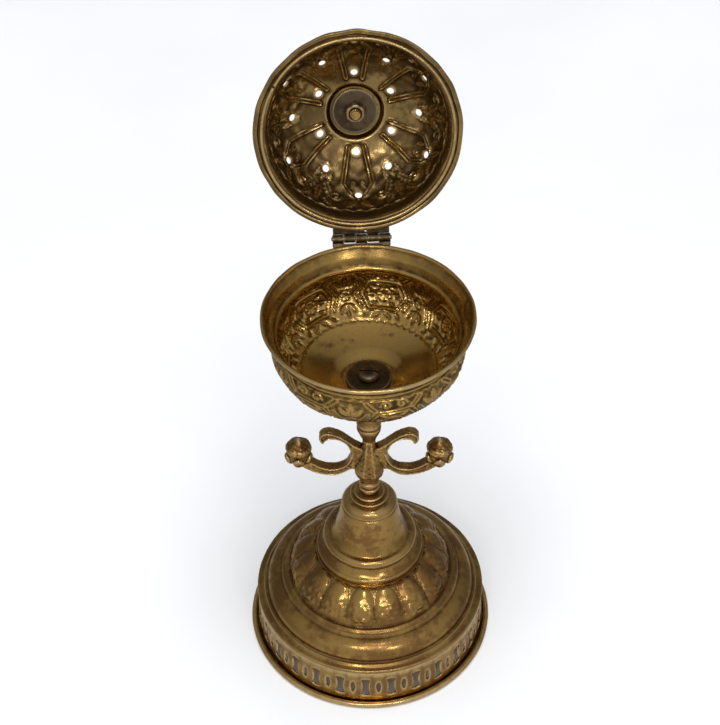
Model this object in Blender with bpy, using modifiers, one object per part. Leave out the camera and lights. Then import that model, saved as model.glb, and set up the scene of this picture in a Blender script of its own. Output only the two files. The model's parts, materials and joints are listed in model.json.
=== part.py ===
"""Standing censer: a footed brass bowl with a pierced, hinged lid.

The foot stands on z = 0 and the lid's hinge is at +Y. Lengths are written in
millimetres and turned into metres where meshes are made. The lid is drawn
closed and then swung open about the hinge pin.
"""

import math

import bmesh
import bpy
from mathutils import Matrix, Vector

MM = 0.001

# Driving dimensions, in millimetres
GAP = 0.3                 # clearance between pieces that touch
SHEET = 1.2               # thickness of the spun brass
PLATE = 1.5               # thickness of the flat plates that take the M6 threads
BASE_RADIUS = 73.2        # foot ring, outside
FLANGE_RADIUS = 68.4      # edge of the foot shell
GALLERY_TOP = 27.8        # top of the pierced strip
RIM_SHELF = 1.4           # step of the foot ring that the strip stands on
FOOT_TOP = 63.8           # ledge that carries the cone
CONE_TOP = 102.6          # top of the cone, under its cap
CAP_TOP = 109.0
DISC_TOP = 111.2          # flat disc between the cap and the stem
KNOP_LOW = 122.5          # scroll knop, where the spool's spigot enters it
KNOP_TOP = 155.6
KNOP_TURN = -3.6          # degrees that the scroll arms stand off the X axis
KNOP_WELL = 7.1           # depth of the knop's top bore
KNOP_SOCKET = 11.5        # depth of its foot bore
END_PLAY = 0.5            # spigots stop this far from the ends of their bores
BUD_OUT = 39.8            # buds of the scroll arms, from the axis
COLLAR_TOP = 186.0        # collar on the knop, under the bowl's seat
LIP_RADIUS = 57.0         # bowl lip, outside
LIP_TOP = 251.2           # highest point of the bowl
BOWL_FLOOR = 203.0        # underside of the bowl
BOWL_BELLY = 51.2         # widest radius of the bowl's body
BOWL_WIDEST = 231.0       # height of that widest line
BOWL_HEIGHTS = (235.4, 229.6, 221.8, 214.4, 208.6, 204.8)    # heights where its curve is drawn
BOWL_FLAT = 14.6          # radius of the flat under the bowl
LID_RADIUS = 56.2         # lid rim, outside
LID_RIM_Z = 253.0         # plane of the closed lid's rim
LID_HEIGHT = 40.2         # lid rim to the top of its apex plate
FLANGE_UNDER = -0.5       # underside of the lid's flange, from its rim plane
WIRE_JOINT = 212.0        # where the hoop's ends meet, degrees
DOME_RADIUS = 49.3        # lid's dome, inside, where it meets the flange
DOME_RISE = 36.6          # lid's dome, inside, above the rim plane
DOME_POWER = 2.5          # 2 is an ellipse; above that the dome is fuller
DOME_STATIONS = (16.4, 25.0, 34.0, 41.0, 45.6, 48.4)    # radii where the dome is drawn
FINIAL_HEIGHT = 22.0      # finial above the apex plate
SPIGOT = 2.1              # radius of the spigots that enter the knop
THREAD = 3.0              # M6 shank radius
BORE = THREAD + GAP       # clearance bore for an M6 shank
WASHER_RADIUS = 12.5      # 25 mm penny washer
WASHER_THICK = 1.4
NUT_FLATS = 10.0          # M6 nut
NUT_THICK = 5.0
SLOT_WIDTH = 1.6          # screwdriver slot
SLOT_DEPTH = 1.8
PIN_Y = 60.3              # hinge pin behind the bowl's axis
PIN_Z = 252.3
PIN_RADIUS = 1.1
KNUCKLE_RADIUS = 2.3
HINGE_WIDTH = 32.0
KNUCKLES = 5
LEAF_THICK = 0.9
LEAF_SHORTER = 0.5        # leaf plates stop this far inside the knuckle row
PIN_LONGER = 0.6          # pin stands this far out of it
LID_OPEN = 109.0          # degrees from closed
GALLERY_BAYS = 28         # one hourglass and one oval in each
GALLERY_PHASE = 3.9       # degrees
HOURGLASS = (5.2, 3.2, 14.0)    # width at the ends, width at the waist, height
OVAL = (2.9, 8.0)
HOLE_DROP = 0.2           # how far the holes sit below the strip's middle
HOLE_RADIUS = 2.0         # smoke holes in the lid
HOLE_RINGS = ((22.6, 0.0), (34.5, 30.0), (43.3, 0.0))   # ring radius, turn in degrees
HOLES_PER_RING = 6
FOOT_AXIS_Y = -33.27      # foot axis, so that the open censer's box is centred on y = 0

CUT = 14.0                # half length of a cutter that passes right through
INSET = 0.01              # keeps the faces of joined shapes out of one plane

# Steps round a turned piece
STEPS_WIDE = 44
STEPS_BOWL = 38
STEPS_CONE = 28
STEPS_STEM = 16
STEPS_SMALL = 18


def clear_scene():
    for obj in list(bpy.data.objects):
        bpy.data.objects.remove(obj, do_unlink=True)


def collection(name):
    made = bpy.data.collections.new(name)
    bpy.context.scene.collection.children.link(made)
    return made


def metal(name, color, roughness, metallic=1.0):
    mat = bpy.data.materials.new(name)
    mat.use_nodes = True
    shader = mat.node_tree.nodes["Principled BSDF"]
    shader.inputs["Base Color"].default_value = (*color, 1.0)
    shader.inputs["Roughness"].default_value = roughness
    shader.inputs["Metallic"].default_value = metallic
    return mat


def add_object(name, data, where, parent=None, mat=None):
    obj = bpy.data.objects.new(name, data)
    where.objects.link(obj)
    obj.parent = parent
    if mat:
        data.materials.append(mat)
    return obj


def empty(name, place, where, parent=None, turn=(0.0, 0.0, 0.0)):
    obj = add_object(name, None, where, parent)
    obj.location = place
    obj.rotation_euler = turn
    return obj


def arc(center, radius, start, end, count):
    """Points on an arc in the (radius, height) plane, angles in degrees."""
    points = []
    for i in range(count + 1):
        angle = math.radians(start + (end - start) * i / count)
        points.append((center[0] + radius * math.cos(angle), center[1] + radius * math.sin(angle)))
    return points


def circle(radius, count):
    """Corners of a polygon round the origin, with a flat side at angle zero."""
    angles = (math.tau * (i + 0.5) / count for i in range(count))
    return [(radius * math.cos(a), radius * math.sin(a)) for a in angles]


def turned(name, profile, steps, where, parent, mat):
    """Piece turned about Z. The profile runs down its outer side, then back up inside."""
    mesh = bpy.data.meshes.new(name)
    bm = bmesh.new()
    verts = [bm.verts.new((r * MM, 0.0, z * MM)) for r, z in profile]
    for a, b in zip(verts, verts[1:]):
        bm.edges.new((a, b))
    solid_core = profile[0][0] == 0.0 and profile[-1][0] == 0.0
    if not solid_core:
        bm.edges.new((verts[-1], verts[0]))
    bm.to_mesh(mesh)
    bm.free()
    obj = add_object(name, mesh, where, parent, mat)
    screw = obj.modifiers.new("turn", 'SCREW')
    screw.axis = 'Z'
    screw.steps = steps
    screw.render_steps = steps
    screw.use_merge_vertices = True
    screw.merge_threshold = 0.00001
    screw.use_smooth_shade = True
    return obj


def prism(name, sides, radius, low, high, where, parent, mat=None, turn=0.0):
    """Upright cylinder or regular prism between two heights."""
    mesh = bpy.data.meshes.new(name)
    bm = bmesh.new()
    place = Matrix.Translation((0.0, 0.0, (low + high) / 2 * MM)) @ Matrix.Rotation(turn, 4, 'Z')
    bmesh.ops.create_cone(
        bm, cap_ends=True, segments=sides, radius1=radius * MM, radius2=radius * MM,
        depth=(high - low) * MM, matrix=place)
    bm.to_mesh(mesh)
    bm.free()
    return add_object(name, mesh, where, parent, mat)


def plate(name, outline, thickness, where, parent, mat=None):
    """Flat outline extruded along Y, centred on y = 0; outline in (x, z)."""
    curve = bpy.data.curves.new(name, 'CURVE')
    curve.dimensions = '2D'
    curve.fill_mode = 'BOTH'
    curve.extrude = thickness / 2 * MM
    spline = curve.splines.new('POLY')
    spline.points.add(len(outline) - 1)
    for point, (x, z) in zip(spline.points, outline):
        point.co = (x * MM, z * MM, 0.0, 1.0)
    spline.use_cyclic_u = True
    obj = add_object(name, curve, where, parent)
    obj.rotation_euler.x = math.pi / 2
    return to_mesh(obj, where, mat)


def to_mesh(obj, where, mat=None):
    """Turn a curve object into a mesh object with its caps welded."""
    bpy.context.view_layer.update()
    seen = obj.evaluated_get(bpy.context.evaluated_depsgraph_get())
    mesh = bpy.data.meshes.new_from_object(seen)
    bm = bmesh.new()
    bm.from_mesh(mesh)
    bmesh.ops.remove_doubles(bm, verts=bm.verts, dist=0.000001)
    bmesh.ops.recalc_face_normals(bm, faces=bm.faces)
    bm.to_mesh(mesh)
    bm.free()
    name, parent, matrix = obj.name, obj.parent, obj.matrix_world.copy()
    bpy.data.objects.remove(obj, do_unlink=True)
    made = add_object(name, mesh, where, parent)
    made.matrix_world = matrix
    mesh.materials.clear()
    if mat:
        mesh.materials.append(mat)
    return made


def boolean(obj, tool, operation):
    mod = obj.modifiers.new(operation.lower(), 'BOOLEAN')
    mod.operation = operation
    mod.solver = 'EXACT'
    mod.object = tool
    tool.hide_render = True
    tool.display_type = 'WIRE'
    return mod


def ring_cutter(name, mesh, angles, cutters, parent):
    """One cutter mesh with a copy of the given mesh turned to each angle."""
    bm = bmesh.new()
    for angle in angles:
        copy = mesh.copy()
        copy.transform(Matrix.Rotation(angle, 4, 'Z'))
        bm.from_mesh(copy)
        bpy.data.meshes.remove(copy)
    made = bpy.data.meshes.new(name)
    bm.to_mesh(made)
    bm.free()
    return add_object(name, made, cutters, parent)


# ---------------------------------------------------------------- foot

def foot_rim_ring(parts, parent, mat):
    bead = 1.7
    inner = BASE_RADIUS - 7.2
    profile = [(BASE_RADIUS - 3.6, RIM_SHELF)]
    profile += arc((BASE_RADIUS - bead, bead), bead, 150.0, -90.0, 7)
    profile += [(inner, 0.0), (inner, RIM_SHELF)]
    return turned("foot_rim_ring", profile, STEPS_WIDE, parts, parent, mat)


def hourglass_outline(width, waist, height):
    w, n, h = width / 2, waist / 2, height / 2
    right = [(w, -h), (n + 0.3, -h * 0.4), (n, 0.0), (n + 0.3, h * 0.4), (w, h)]
    return right + [(-x, -z) for x, z in right]


def oval_outline(width, height):
    return [(width / 2 * math.cos(a), height / 2 * math.sin(a))
            for a in (math.tau * i / 8 for i in range(8))]


def foot_gallery(parts, cutters, parent, mat):
    top_radius, bottom_radius = 67.7, 69.1
    bottom = RIM_SHELF + GAP
    middle = (GALLERY_TOP + RIM_SHELF) / 2 - HOLE_DROP
    profile = [(top_radius, GALLERY_TOP), (bottom_radius, bottom),
               (bottom_radius - SHEET, bottom), (top_radius - SHEET, GALLERY_TOP)]
    strip = turned("foot_gallery", profile, 2 * GALLERY_BAYS, parts, parent, mat)
    strip.rotation_euler.z = math.radians(GALLERY_PHASE)
    pitch = math.tau / (2 * GALLERY_BAYS)
    shapes = (("hourglass", hourglass_outline(*HOURGLASS), 0), ("oval", oval_outline(*OVAL), 1))
    for label, outline, offset in shapes:
        hole = plate(label + "_hole", outline, CUT, cutters, None)
        hole.data.transform(Matrix.Translation((0.0, top_radius * MM, middle * MM)) @ hole.matrix_world)
        hole.matrix_world = Matrix.Identity(4)
        angles = [(offset + 2 * i + 0.5) * pitch for i in range(GALLERY_BAYS)]
        tool = ring_cutter(label + "_cutter", hole.data, angles, cutters, strip)
        bpy.data.objects.remove(hole, do_unlink=True)
        boolean(strip, tool, 'DIFFERENCE')
    return strip


def foot_shell(parts, parent, mat):
    lobes = [(33.5, FOOT_TOP), (38.5, 60.2), (43.0, 55.2), (46.2, 50.4), (48.4, 46.6)]
    ledge = [(50.2, 46.1), (50.9, 45.2), (52.8, 44.8)]
    cushion = arc((51.0, 31.2), 11.4, 68.0, 8.0, 5)
    step = [(62.6, 32.0), (64.8, 31.3), (65.9, 30.5)]
    edge = [(FLANGE_RADIUS - 0.5, 30.2), (FLANGE_RADIUS, 29.4), (FLANGE_RADIUS - 0.2, 28.1)]
    inside = [(64.6, 28.1), (61.0, 30.4), (58.0, 38.4), (52.4, 43.2), (47.4, 44.4),
              (44.4, 50.4), (39.4, 57.0), (32.8, 62.4), (27.0, 62.4)]
    profile = [(27.0, FOOT_TOP)] + lobes + ledge + cushion + step + edge + inside
    return turned("foot_shell", profile, STEPS_WIDE, parts, parent, mat)


def foot_cone(parts, parent, mat):
    base = FOOT_TOP + GAP
    plate_under = CONE_TOP - PLATE
    outside = [(BORE, CONE_TOP), (15.3, CONE_TOP), (16.4, 101.2), (17.1, 96.5), (18.6, 89.0),
               (20.6, 82.6), (22.4, 78.6)]
    torus = arc((23.5, 75.5), 2.8, 78.0, -52.0, 5)
    foot_ring = [(29.6, 67.5), (30.6, 67.3), (31.3, 66.2), (31.1, base)]
    inside = [(28.2, base), (27.8, 66.4), (23.2, 71.6), (21.8, 76.4), (19.3, 82.2), (17.3, 88.8),
              (15.7, 96.4), (14.9, plate_under), (BORE, plate_under)]
    return turned("foot_cone", outside + torus + foot_ring + inside, STEPS_CONE, parts, parent, mat)


def foot_cap(parts, parent, mat):
    under = CONE_TOP + GAP
    profile = [(BORE, CAP_TOP), (10.4, CAP_TOP), (12.4, 108.4), (14.4, 107.0), (15.7, 105.2),
               (16.2, 103.8), (15.9, under), (BORE, under)]
    return turned("foot_cap", profile, STEPS_SMALL, parts, parent, mat)


def stem_base_disc(parts, parent, mat):
    low, high, radius = CAP_TOP + GAP, DISC_TOP, 11.2
    edge = [(radius - 0.5, high), (radius, high - 0.6), (radius, low + 0.4), (radius - 0.4, low)]
    profile = [(BORE, high)] + edge + [(BORE, low)]
    return turned("stem_base_disc", profile, STEPS_SMALL, parts, parent, mat)


def tie_hardware(parts, parent, mat):
    """Washer and nut on the spool's tail, under the cone's top plate."""
    top = CONE_TOP - PLATE - GAP
    turned("tie_washer", washer_profile(9.0, top), STEPS_SMALL, parts, parent, mat)
    nut("tie_nut", top - WASHER_THICK - GAP, parts, parent, mat)


def washer_profile(radius, top):
    low = top - WASHER_THICK
    return [(BORE, top), (radius, top), (radius, low), (BORE, low)]


def nut(name, top, parts, parent, mat):
    """Hexagon nut with its bore, hanging down from a height."""
    low = top - NUT_THICK
    corner = NUT_FLATS / 2 / math.cos(math.pi / 6)
    bore_corner = BORE / math.cos(math.pi / 6)
    mesh = bpy.data.meshes.new(name)
    bm = bmesh.new()
    loops = []
    for sides_radius, height in ((corner, top), (corner, low), (bore_corner, low), (bore_corner, top)):
        loops.append([bm.verts.new((sides_radius * MM * math.cos(math.tau * i / 6),
                                    sides_radius * MM * math.sin(math.tau * i / 6), height * MM))
                      for i in range(6)])
    for ring, following in zip(loops, loops[1:] + loops[:1]):
        for i in range(6):
            j = (i + 1) % 6
            bm.faces.new((ring[i], following[i], following[j], ring[j]))
    bmesh.ops.recalc_face_normals(bm, faces=bm.faces)
    bm.to_mesh(mesh)
    bm.free()
    return add_object(name, mesh, parts, parent, mat)


# ---------------------------------------------------------------- stem

def stem_spool(parts, parent, mat):
    shoulder, base, tail_end = KNOP_LOW - GAP, DISC_TOP + GAP, 88.0
    spigot_top = KNOP_LOW + KNOP_SOCKET - END_PLAY
    spigot = [(0.0, spigot_top), (SPIGOT, spigot_top), (SPIGOT, shoulder)]
    rings = [(4.6, shoulder), (5.5, 121.0), (5.7, 119.8), (5.0, 118.4), (3.9, 117.9), (5.3, 117.1),
             (5.7, 116.1), (5.1, 115.1), (3.9, 114.6), (4.4, 113.4), (8.5, 113.1), (8.9, 112.3),
             (8.6, base)]
    tail = [(THREAD, base), (THREAD, tail_end), (0.0, tail_end)]
    return turned("stem_spool", spigot + rings + tail, STEPS_STEM, parts, parent, mat)


def upper_scroll():
    """Outline of the right-hand upper arm, in (x, z)."""
    top = [(3.0, 149.5), (8.0, 152.8), (12.4, 157.4), (17.0, 161.1), (22.0, 163.1), (26.0, 162.2)]
    end = [(28.3, 159.2), (27.4, 156.4), (24.4, 155.0), (22.6, 157.4)]
    under = [(18.2, 158.0), (14.4, 156.0), (11.6, 152.0), (10.2, 146.9), (3.0, 141.0)]
    return top + end + under


def lower_scroll():
    """Outline of the right-hand lower arm, in (x, z); it ends inside the bud."""
    top = [(3.0, 149.0), (10.0, 147.1), (10.7, 141.2), (13.6, 136.1), (18.0, 133.6), (23.0, 133.4),
           (28.0, 135.0), (32.6, 138.8), (37.0, 141.0)]
    under = [(41.0, 138.4), (36.0, 134.0), (30.4, 130.2), (23.6, 128.2), (17.6, 128.8), (13.2, 131.8),
             (9.6, 134.6), (3.0, 131.0)]
    return top + under


def bud(name, side, parent, cutters):
    """Ball with a pointed top and a turned-down base, at the end of a lower arm."""
    profile = [(0.0, 155.0), (1.6, 152.6), (4.4, 150.6), (6.6, 147.6), (7.4, 144.4), (7.0, 141.4),
               (7.3, 140.2), (5.6, 138.4), (2.6, 137.6), (0.0, 137.4)]
    ball = turned(name, profile, 12, cutters, parent, None)
    ball.location.x = side * BUD_OUT * MM
    return ball


def scroll_knop(parts, cutters, parent, mat):
    """Faceted knop with four scroll arms cast on it."""
    sides, arm_width, beyond = 8, 6.0, 1.5
    body = [(0.0, KNOP_TOP), (3.6, KNOP_TOP), (4.4, 150.6), (6.2, 143.0), (8.6, 134.6), (8.9, 131.8),
            (7.6, 127.6), (5.1, 123.6), (4.8, KNOP_LOW), (0.0, KNOP_LOW)]
    knop = turned("scroll_knop", body, sides, parts, parent, mat)
    knop.rotation_euler.z = math.pi / sides
    for side, label in ((1, "right"), (-1, "left")):
        for kind, outline in (("upper", upper_scroll()), ("lower", lower_scroll())):
            mirrored = [(side * x, z) for x, z in outline]
            arm = plate(f"{kind}_{label}_arm", mirrored, arm_width, cutters, parent)
            boolean(knop, arm, 'UNION')
        boolean(knop, bud(f"{label}_bud", side, parent, cutters), 'UNION')
    bores = (("knop_top_bore", KNOP_TOP - KNOP_WELL, KNOP_TOP + beyond),
             ("knop_foot_bore", KNOP_LOW - beyond, KNOP_LOW + KNOP_SOCKET))
    for label, low, high in bores:
        boolean(knop, prism(label, 12, SPIGOT + GAP, low, high, cutters, parent), 'DIFFERENCE')
    return knop


def stem_collar(parts, parent, mat):
    foot, socket_floor = KNOP_TOP + GAP, 175.4
    spigot_end = KNOP_TOP - KNOP_WELL + END_PLAY
    spigot = [(SPIGOT, foot), (SPIGOT, spigot_end), (0.0, spigot_end)]
    socket = [(0.0, socket_floor), (BORE, socket_floor), (BORE, COLLAR_TOP)]
    outside = [(6.2, COLLAR_TOP), (6.6, 185.0), (6.2, 184.0), (5.3, 182.6), (5.0, 178.0), (5.4, 173.4),
               (6.3, 171.6), (6.9, 169.8), (6.3, 168.0), (6.8, 166.2), (6.5, 163.8), (5.6, 160.4),
               (3.9, 157.2), (3.7, foot)]
    return turned("stem_collar", socket + outside + spigot, STEPS_STEM, parts, parent, mat)


def bowl_seat(parts, parent, mat):
    top, low = BOWL_FLOOR - GAP, COLLAR_TOP + GAP
    profile = [(BORE, top), (13.2, top), (13.4, 201.4), (11.0, 198.6), (8.2, 194.4), (6.8, 190.2),
               (6.4, 187.2), (6.4, low), (BORE, low)]
    return turned("bowl_seat", profile, STEPS_SMALL, parts, parent, mat)


# ---------------------------------------------------------------- bowl

def bowl_lines():
    """Outer and inner lines of the bowl's elliptical body, one sheet apart, top first."""
    outer, inner = [], []
    rise = BOWL_WIDEST - BOWL_FLOOR
    for height in BOWL_HEIGHTS:
        up = (height - BOWL_WIDEST) / rise
        radius = BOWL_BELLY * math.sqrt(1.0 - up ** 2)
        slope = math.atan2(up / rise, radius / BOWL_BELLY ** 2)
        outer.append((radius, height))
        inner.append((radius - SHEET * math.cos(slope), height - SHEET * math.sin(slope)))
    return outer, inner


def bowl_shell(parts, parent, mat):
    bead = 1.1
    lip = arc((LIP_RADIUS - bead, LIP_TOP - bead), bead, 110.0, -70.0, 5)
    neck = [(54.4, 247.0), (50.8, 242.4), (49.9, 240.4), (50.1, 238.4)]
    flare = [(48.7, 240.4), (53.4, 247.8)]
    floor = BOWL_FLOOR + SHEET
    flat = [(BOWL_FLAT, BOWL_FLOOR), (BORE, BOWL_FLOOR), (BORE, floor), (BOWL_FLAT - 0.6, floor)]
    outer, inner = bowl_lines()
    profile = lip + neck + outer + flat + inner[::-1] + flare
    return turned("bowl_shell", profile, STEPS_BOWL, parts, parent, mat)


def bowl_washer(parts, parent, mat):
    top = BOWL_FLOOR + SHEET + GAP + WASHER_THICK
    return turned("bowl_washer", washer_profile(WASHER_RADIUS, top), STEPS_SMALL, parts, parent, mat)


def bowl_screw(parts, cutters, parent, mat):
    """M6 pan-head screw; its shank ends in the collar."""
    seat = BOWL_FLOOR + SHEET + GAP + WASHER_THICK + GAP
    top = seat + 3.6
    profile = [(0.0, top), (3.6, top), (5.2, top - 0.7), (6.0, top - 2.0), (6.0, seat), (THREAD, seat),
               (THREAD, 176.0), (0.0, 176.0)]
    screw = turned("bowl_screw", profile, STEPS_SMALL, parts, parent, mat)
    half = SLOT_WIDTH / 2
    slot = box("screw_slot", (-CUT, -half, top - SLOT_DEPTH), (CUT, half, top + CUT), cutters, parent)
    boolean(screw, slot, 'DIFFERENCE')
    return screw


def box(name, low, high, where, parent, mat=None):
    mesh = bpy.data.meshes.new(name)
    bm = bmesh.new()
    size = [(b - a) * MM for a, b in zip(low, high)]
    center = [(a + b) / 2 * MM for a, b in zip(low, high)]
    place = Matrix.Translation(center) @ Matrix.Diagonal((*size, 1.0))
    bmesh.ops.create_cube(bm, size=1.0, matrix=place)
    bm.to_mesh(mesh)
    bm.free()
    return add_object(name, mesh, where, parent, mat)


# ---------------------------------------------------------------- lid, drawn closed about its own axis

def dome_point(radius):
    """Height of the dome's inner line at a radius, and the slope of its normal from upright."""
    height = DOME_RISE * (1.0 - (radius / DOME_RADIUS) ** DOME_POWER) ** (1.0 / DOME_POWER)
    outward = radius ** (DOME_POWER - 1.0) / DOME_RADIUS ** DOME_POWER
    upward = height ** (DOME_POWER - 1.0) / DOME_RISE ** DOME_POWER
    return height, math.atan2(outward, upward)


def dome_lines():
    """Outer and inner lines of the dome, one sheet apart, apex first."""
    inner, outer = [], []
    for radius in DOME_STATIONS:
        height, slope = dome_point(radius)
        inner.append((radius, height))
        outer.append((radius + SHEET * math.sin(slope), height + SHEET * math.cos(slope)))
    return outer, inner


def smoke_hole_cutter(index, ring_radius, turn, cutters, parent):
    """Drills square to the dome, one for each hole of a ring."""
    height, slope = dome_point(ring_radius)
    drill = prism("drill", 8, HOLE_RADIUS, -CUT, CUT, cutters, None)
    place = Matrix.Translation((ring_radius * MM, 0.0, height * MM)) @ Matrix.Rotation(slope, 4, 'Y')
    drill.data.transform(place)
    angles = [math.radians(turn) + math.tau * (i + 0.5) / HOLES_PER_RING for i in range(HOLES_PER_RING)]
    tool = ring_cutter(f"smoke_holes_{index + 1}", drill.data, angles, cutters, parent)
    bpy.data.objects.remove(drill, do_unlink=True)
    return tool


def lid_shell(parts, cutters, parent, mat):
    outer, inner = dome_lines()
    bead = 0.8
    under_plate = LID_HEIGHT - PLATE
    apex = [(BORE, LID_HEIGHT), (14.4, LID_HEIGHT), (15.8, LID_HEIGHT - 0.8)]
    flange = [(50.4, 1.4), (51.6, 0.4), (LID_RADIUS - 1.2, 0.4)]
    rolled = arc((LID_RADIUS - bead, -0.4), bead, 60.0, -90.0, 3)
    under = [(53.6, -1.2), (53.6, FLANGE_UNDER), (50.2, FLANGE_UNDER)]
    boss = [(15.2, under_plate - 1.0), (14.0, under_plate), (BORE, under_plate)]
    profile = apex + outer + flange + rolled + under + inner[::-1] + boss
    lid = turned("lid_shell", profile, STEPS_BOWL, parts, parent, mat)
    for index, (ring_radius, turn) in enumerate(HOLE_RINGS):
        boolean(lid, smoke_hole_cutter(index, ring_radius, turn, cutters, lid), 'DIFFERENCE')
    return lid


def lid_rim_wire(parts, parent, mat):
    """Round wire hoop under the flange, open at its butt joint."""
    hoop_radius, wire, joint_gap, count = 51.7, 0.9, 0.5, 48
    drop = FLANGE_UNDER - GAP - wire
    joint, half_gap = math.radians(WIRE_JOINT), joint_gap / 2 / hoop_radius
    curve = bpy.data.curves.new("lid_rim_wire", 'CURVE')
    curve.dimensions = '3D'
    curve.bevel_depth = wire * MM
    curve.bevel_resolution = 1
    curve.use_fill_caps = True
    spline = curve.splines.new('POLY')
    spline.points.add(count)
    for i, point in enumerate(spline.points):
        angle = joint + half_gap + (math.tau - 2 * half_gap) * i / count
        point.co = (hoop_radius * MM * math.cos(angle), hoop_radius * MM * math.sin(angle), drop * MM, 1.0)
    hoop = add_object("lid_rim_wire", curve, parts, parent)
    return to_mesh(hoop, parts, mat)


def lid_hardware(parts, parent, steel, brass):
    """Washer and nut under the apex, and the finial whose stud passes through them."""
    under = LID_HEIGHT - PLATE - GAP
    turned("lid_washer", washer_profile(WASHER_RADIUS, under), STEPS_SMALL, parts, parent, steel)
    nut("lid_nut", under - WASHER_THICK - GAP, parts, parent, steel)
    base, stud_end = LID_HEIGHT + GAP, 29.0
    top = base + FINIAL_HEIGHT
    profile = [(0.0, top), (1.2, top - 0.4), (1.5, top - 1.5), (1.2, top - 2.8), (3.4, top - 4.6),
               (5.6, top - 8.0), (5.9, top - 10.6), (4.8, top - 13.2), (2.8, top - 15.0), (4.4, top - 16.4),
               (3.4, top - 17.8), (4.6, base + 2.4), (8.0, base + 1.6), (8.3, base + 0.8), (8.0, base),
               (THREAD, base), (THREAD, stud_end), (0.0, stud_end)]
    turned("lid_finial", profile, STEPS_STEM, parts, parent, brass)


# ---------------------------------------------------------------- hinge, drawn about the pin

def knuckle_span(index):
    """Ends of one knuckle along X."""
    pitch = HINGE_WIDTH / KNUCKLES
    start = -HINGE_WIDTH / 2 + index * pitch
    return start + GAP / 2, start + pitch - GAP / 2


def extrude_x(name, outline, low, high, where, parent, mat=None):
    """Outline in (y, z) extruded along X between two ends."""
    mesh = bpy.data.meshes.new(name)
    bm = bmesh.new()
    near = [bm.verts.new((low * MM, y * MM, z * MM)) for y, z in outline]
    far = [bm.verts.new((high * MM, y * MM, z * MM)) for y, z in outline]
    count = len(outline)
    bm.faces.new(near)
    bm.faces.new(far)
    for i in range(count):
        j = (i + 1) % count
        bm.faces.new((near[i], near[j], far[j], far[i]))
    bmesh.ops.recalc_face_normals(bm, faces=bm.faces)
    bm.to_mesh(mesh)
    bm.free()
    return add_object(name, mesh, where, parent, mat)


def leaf(name, plate_outline, tab_outline, own, parts, cutters, parent, mat):
    """Hinge leaf: a plate, and a knuckle with its tab for each index in own."""
    half = HINGE_WIDTH / 2 - LEAF_SHORTER
    made = extrude_x(name, plate_outline, -half, half, parts, parent, mat)
    for index in own:
        low, high = knuckle_span(index)
        tab_low, tab_high = max(low, -half) + INSET, min(high, half) - INSET
        tab = extrude_x(f"{name}_tab_{index}", tab_outline, tab_low, tab_high, cutters, parent)
        boolean(made, tab, 'UNION')
        roll = extrude_x(f"{name}_knuckle_{index}", circle(KNUCKLE_RADIUS, 14), low, high, cutters, parent)
        boolean(made, roll, 'UNION')
    bore_outline = circle(PIN_RADIUS + GAP, 12)
    bore = extrude_x(name + "_bore", bore_outline, -HINGE_WIDTH, HINGE_WIDTH, cutters, parent)
    boolean(made, bore, 'DIFFERENCE')
    return made


def hinge_leaf_lid(parts, cutters, parent, mat):
    top = KNUCKLE_RADIUS
    low = top - LEAF_THICK
    plate_outline = [(-8.2, low), (-8.2, top), (-2.25, top), (-2.25, low)]
    tab_outline = [(-3.2, low), (-3.2, top), (0.0, top - INSET), (0.0, low)]
    made = leaf("hinge_leaf_lid", plate_outline, tab_outline, (1, 3), parts, cutters, parent, mat)
    hole = prism("leaf_hole", 10, 0.8, 0.0, CUT, cutters, parent)
    hole.data.transform(Matrix.Translation((2.4 * MM, -3.9 * MM, 0.0)))
    boolean(made, hole, 'DIFFERENCE')
    return made


def hinge_leaf_bowl(parts, cutters, parent, mat):
    """Leaf bent to lie along the underside of the bowl's flared lip."""
    plate_outline = [(-9.2, -10.1), (-4.0, -3.6), (-2.9, -2.9), (-1.95, -1.85), (-1.45, -2.3), (-3.3, -4.6),
                     (-8.4, -10.9)]
    tab_outline = [(-2.9, -3.4), (-1.75, -1.4), (0.2, -2.0), (-2.0, -4.0)]
    return leaf("hinge_leaf_bowl", plate_outline, tab_outline, (0, 2, 4), parts, cutters, parent, mat)


def hinge_pin(parts, parent, mat):
    half = HINGE_WIDTH / 2 + PIN_LONGER
    pin = prism("hinge_pin", 12, PIN_RADIUS, -half, half, parts, parent, mat)
    pin.data.transform(Matrix.Rotation(math.pi / 2, 4, 'Y'))
    return pin


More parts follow.
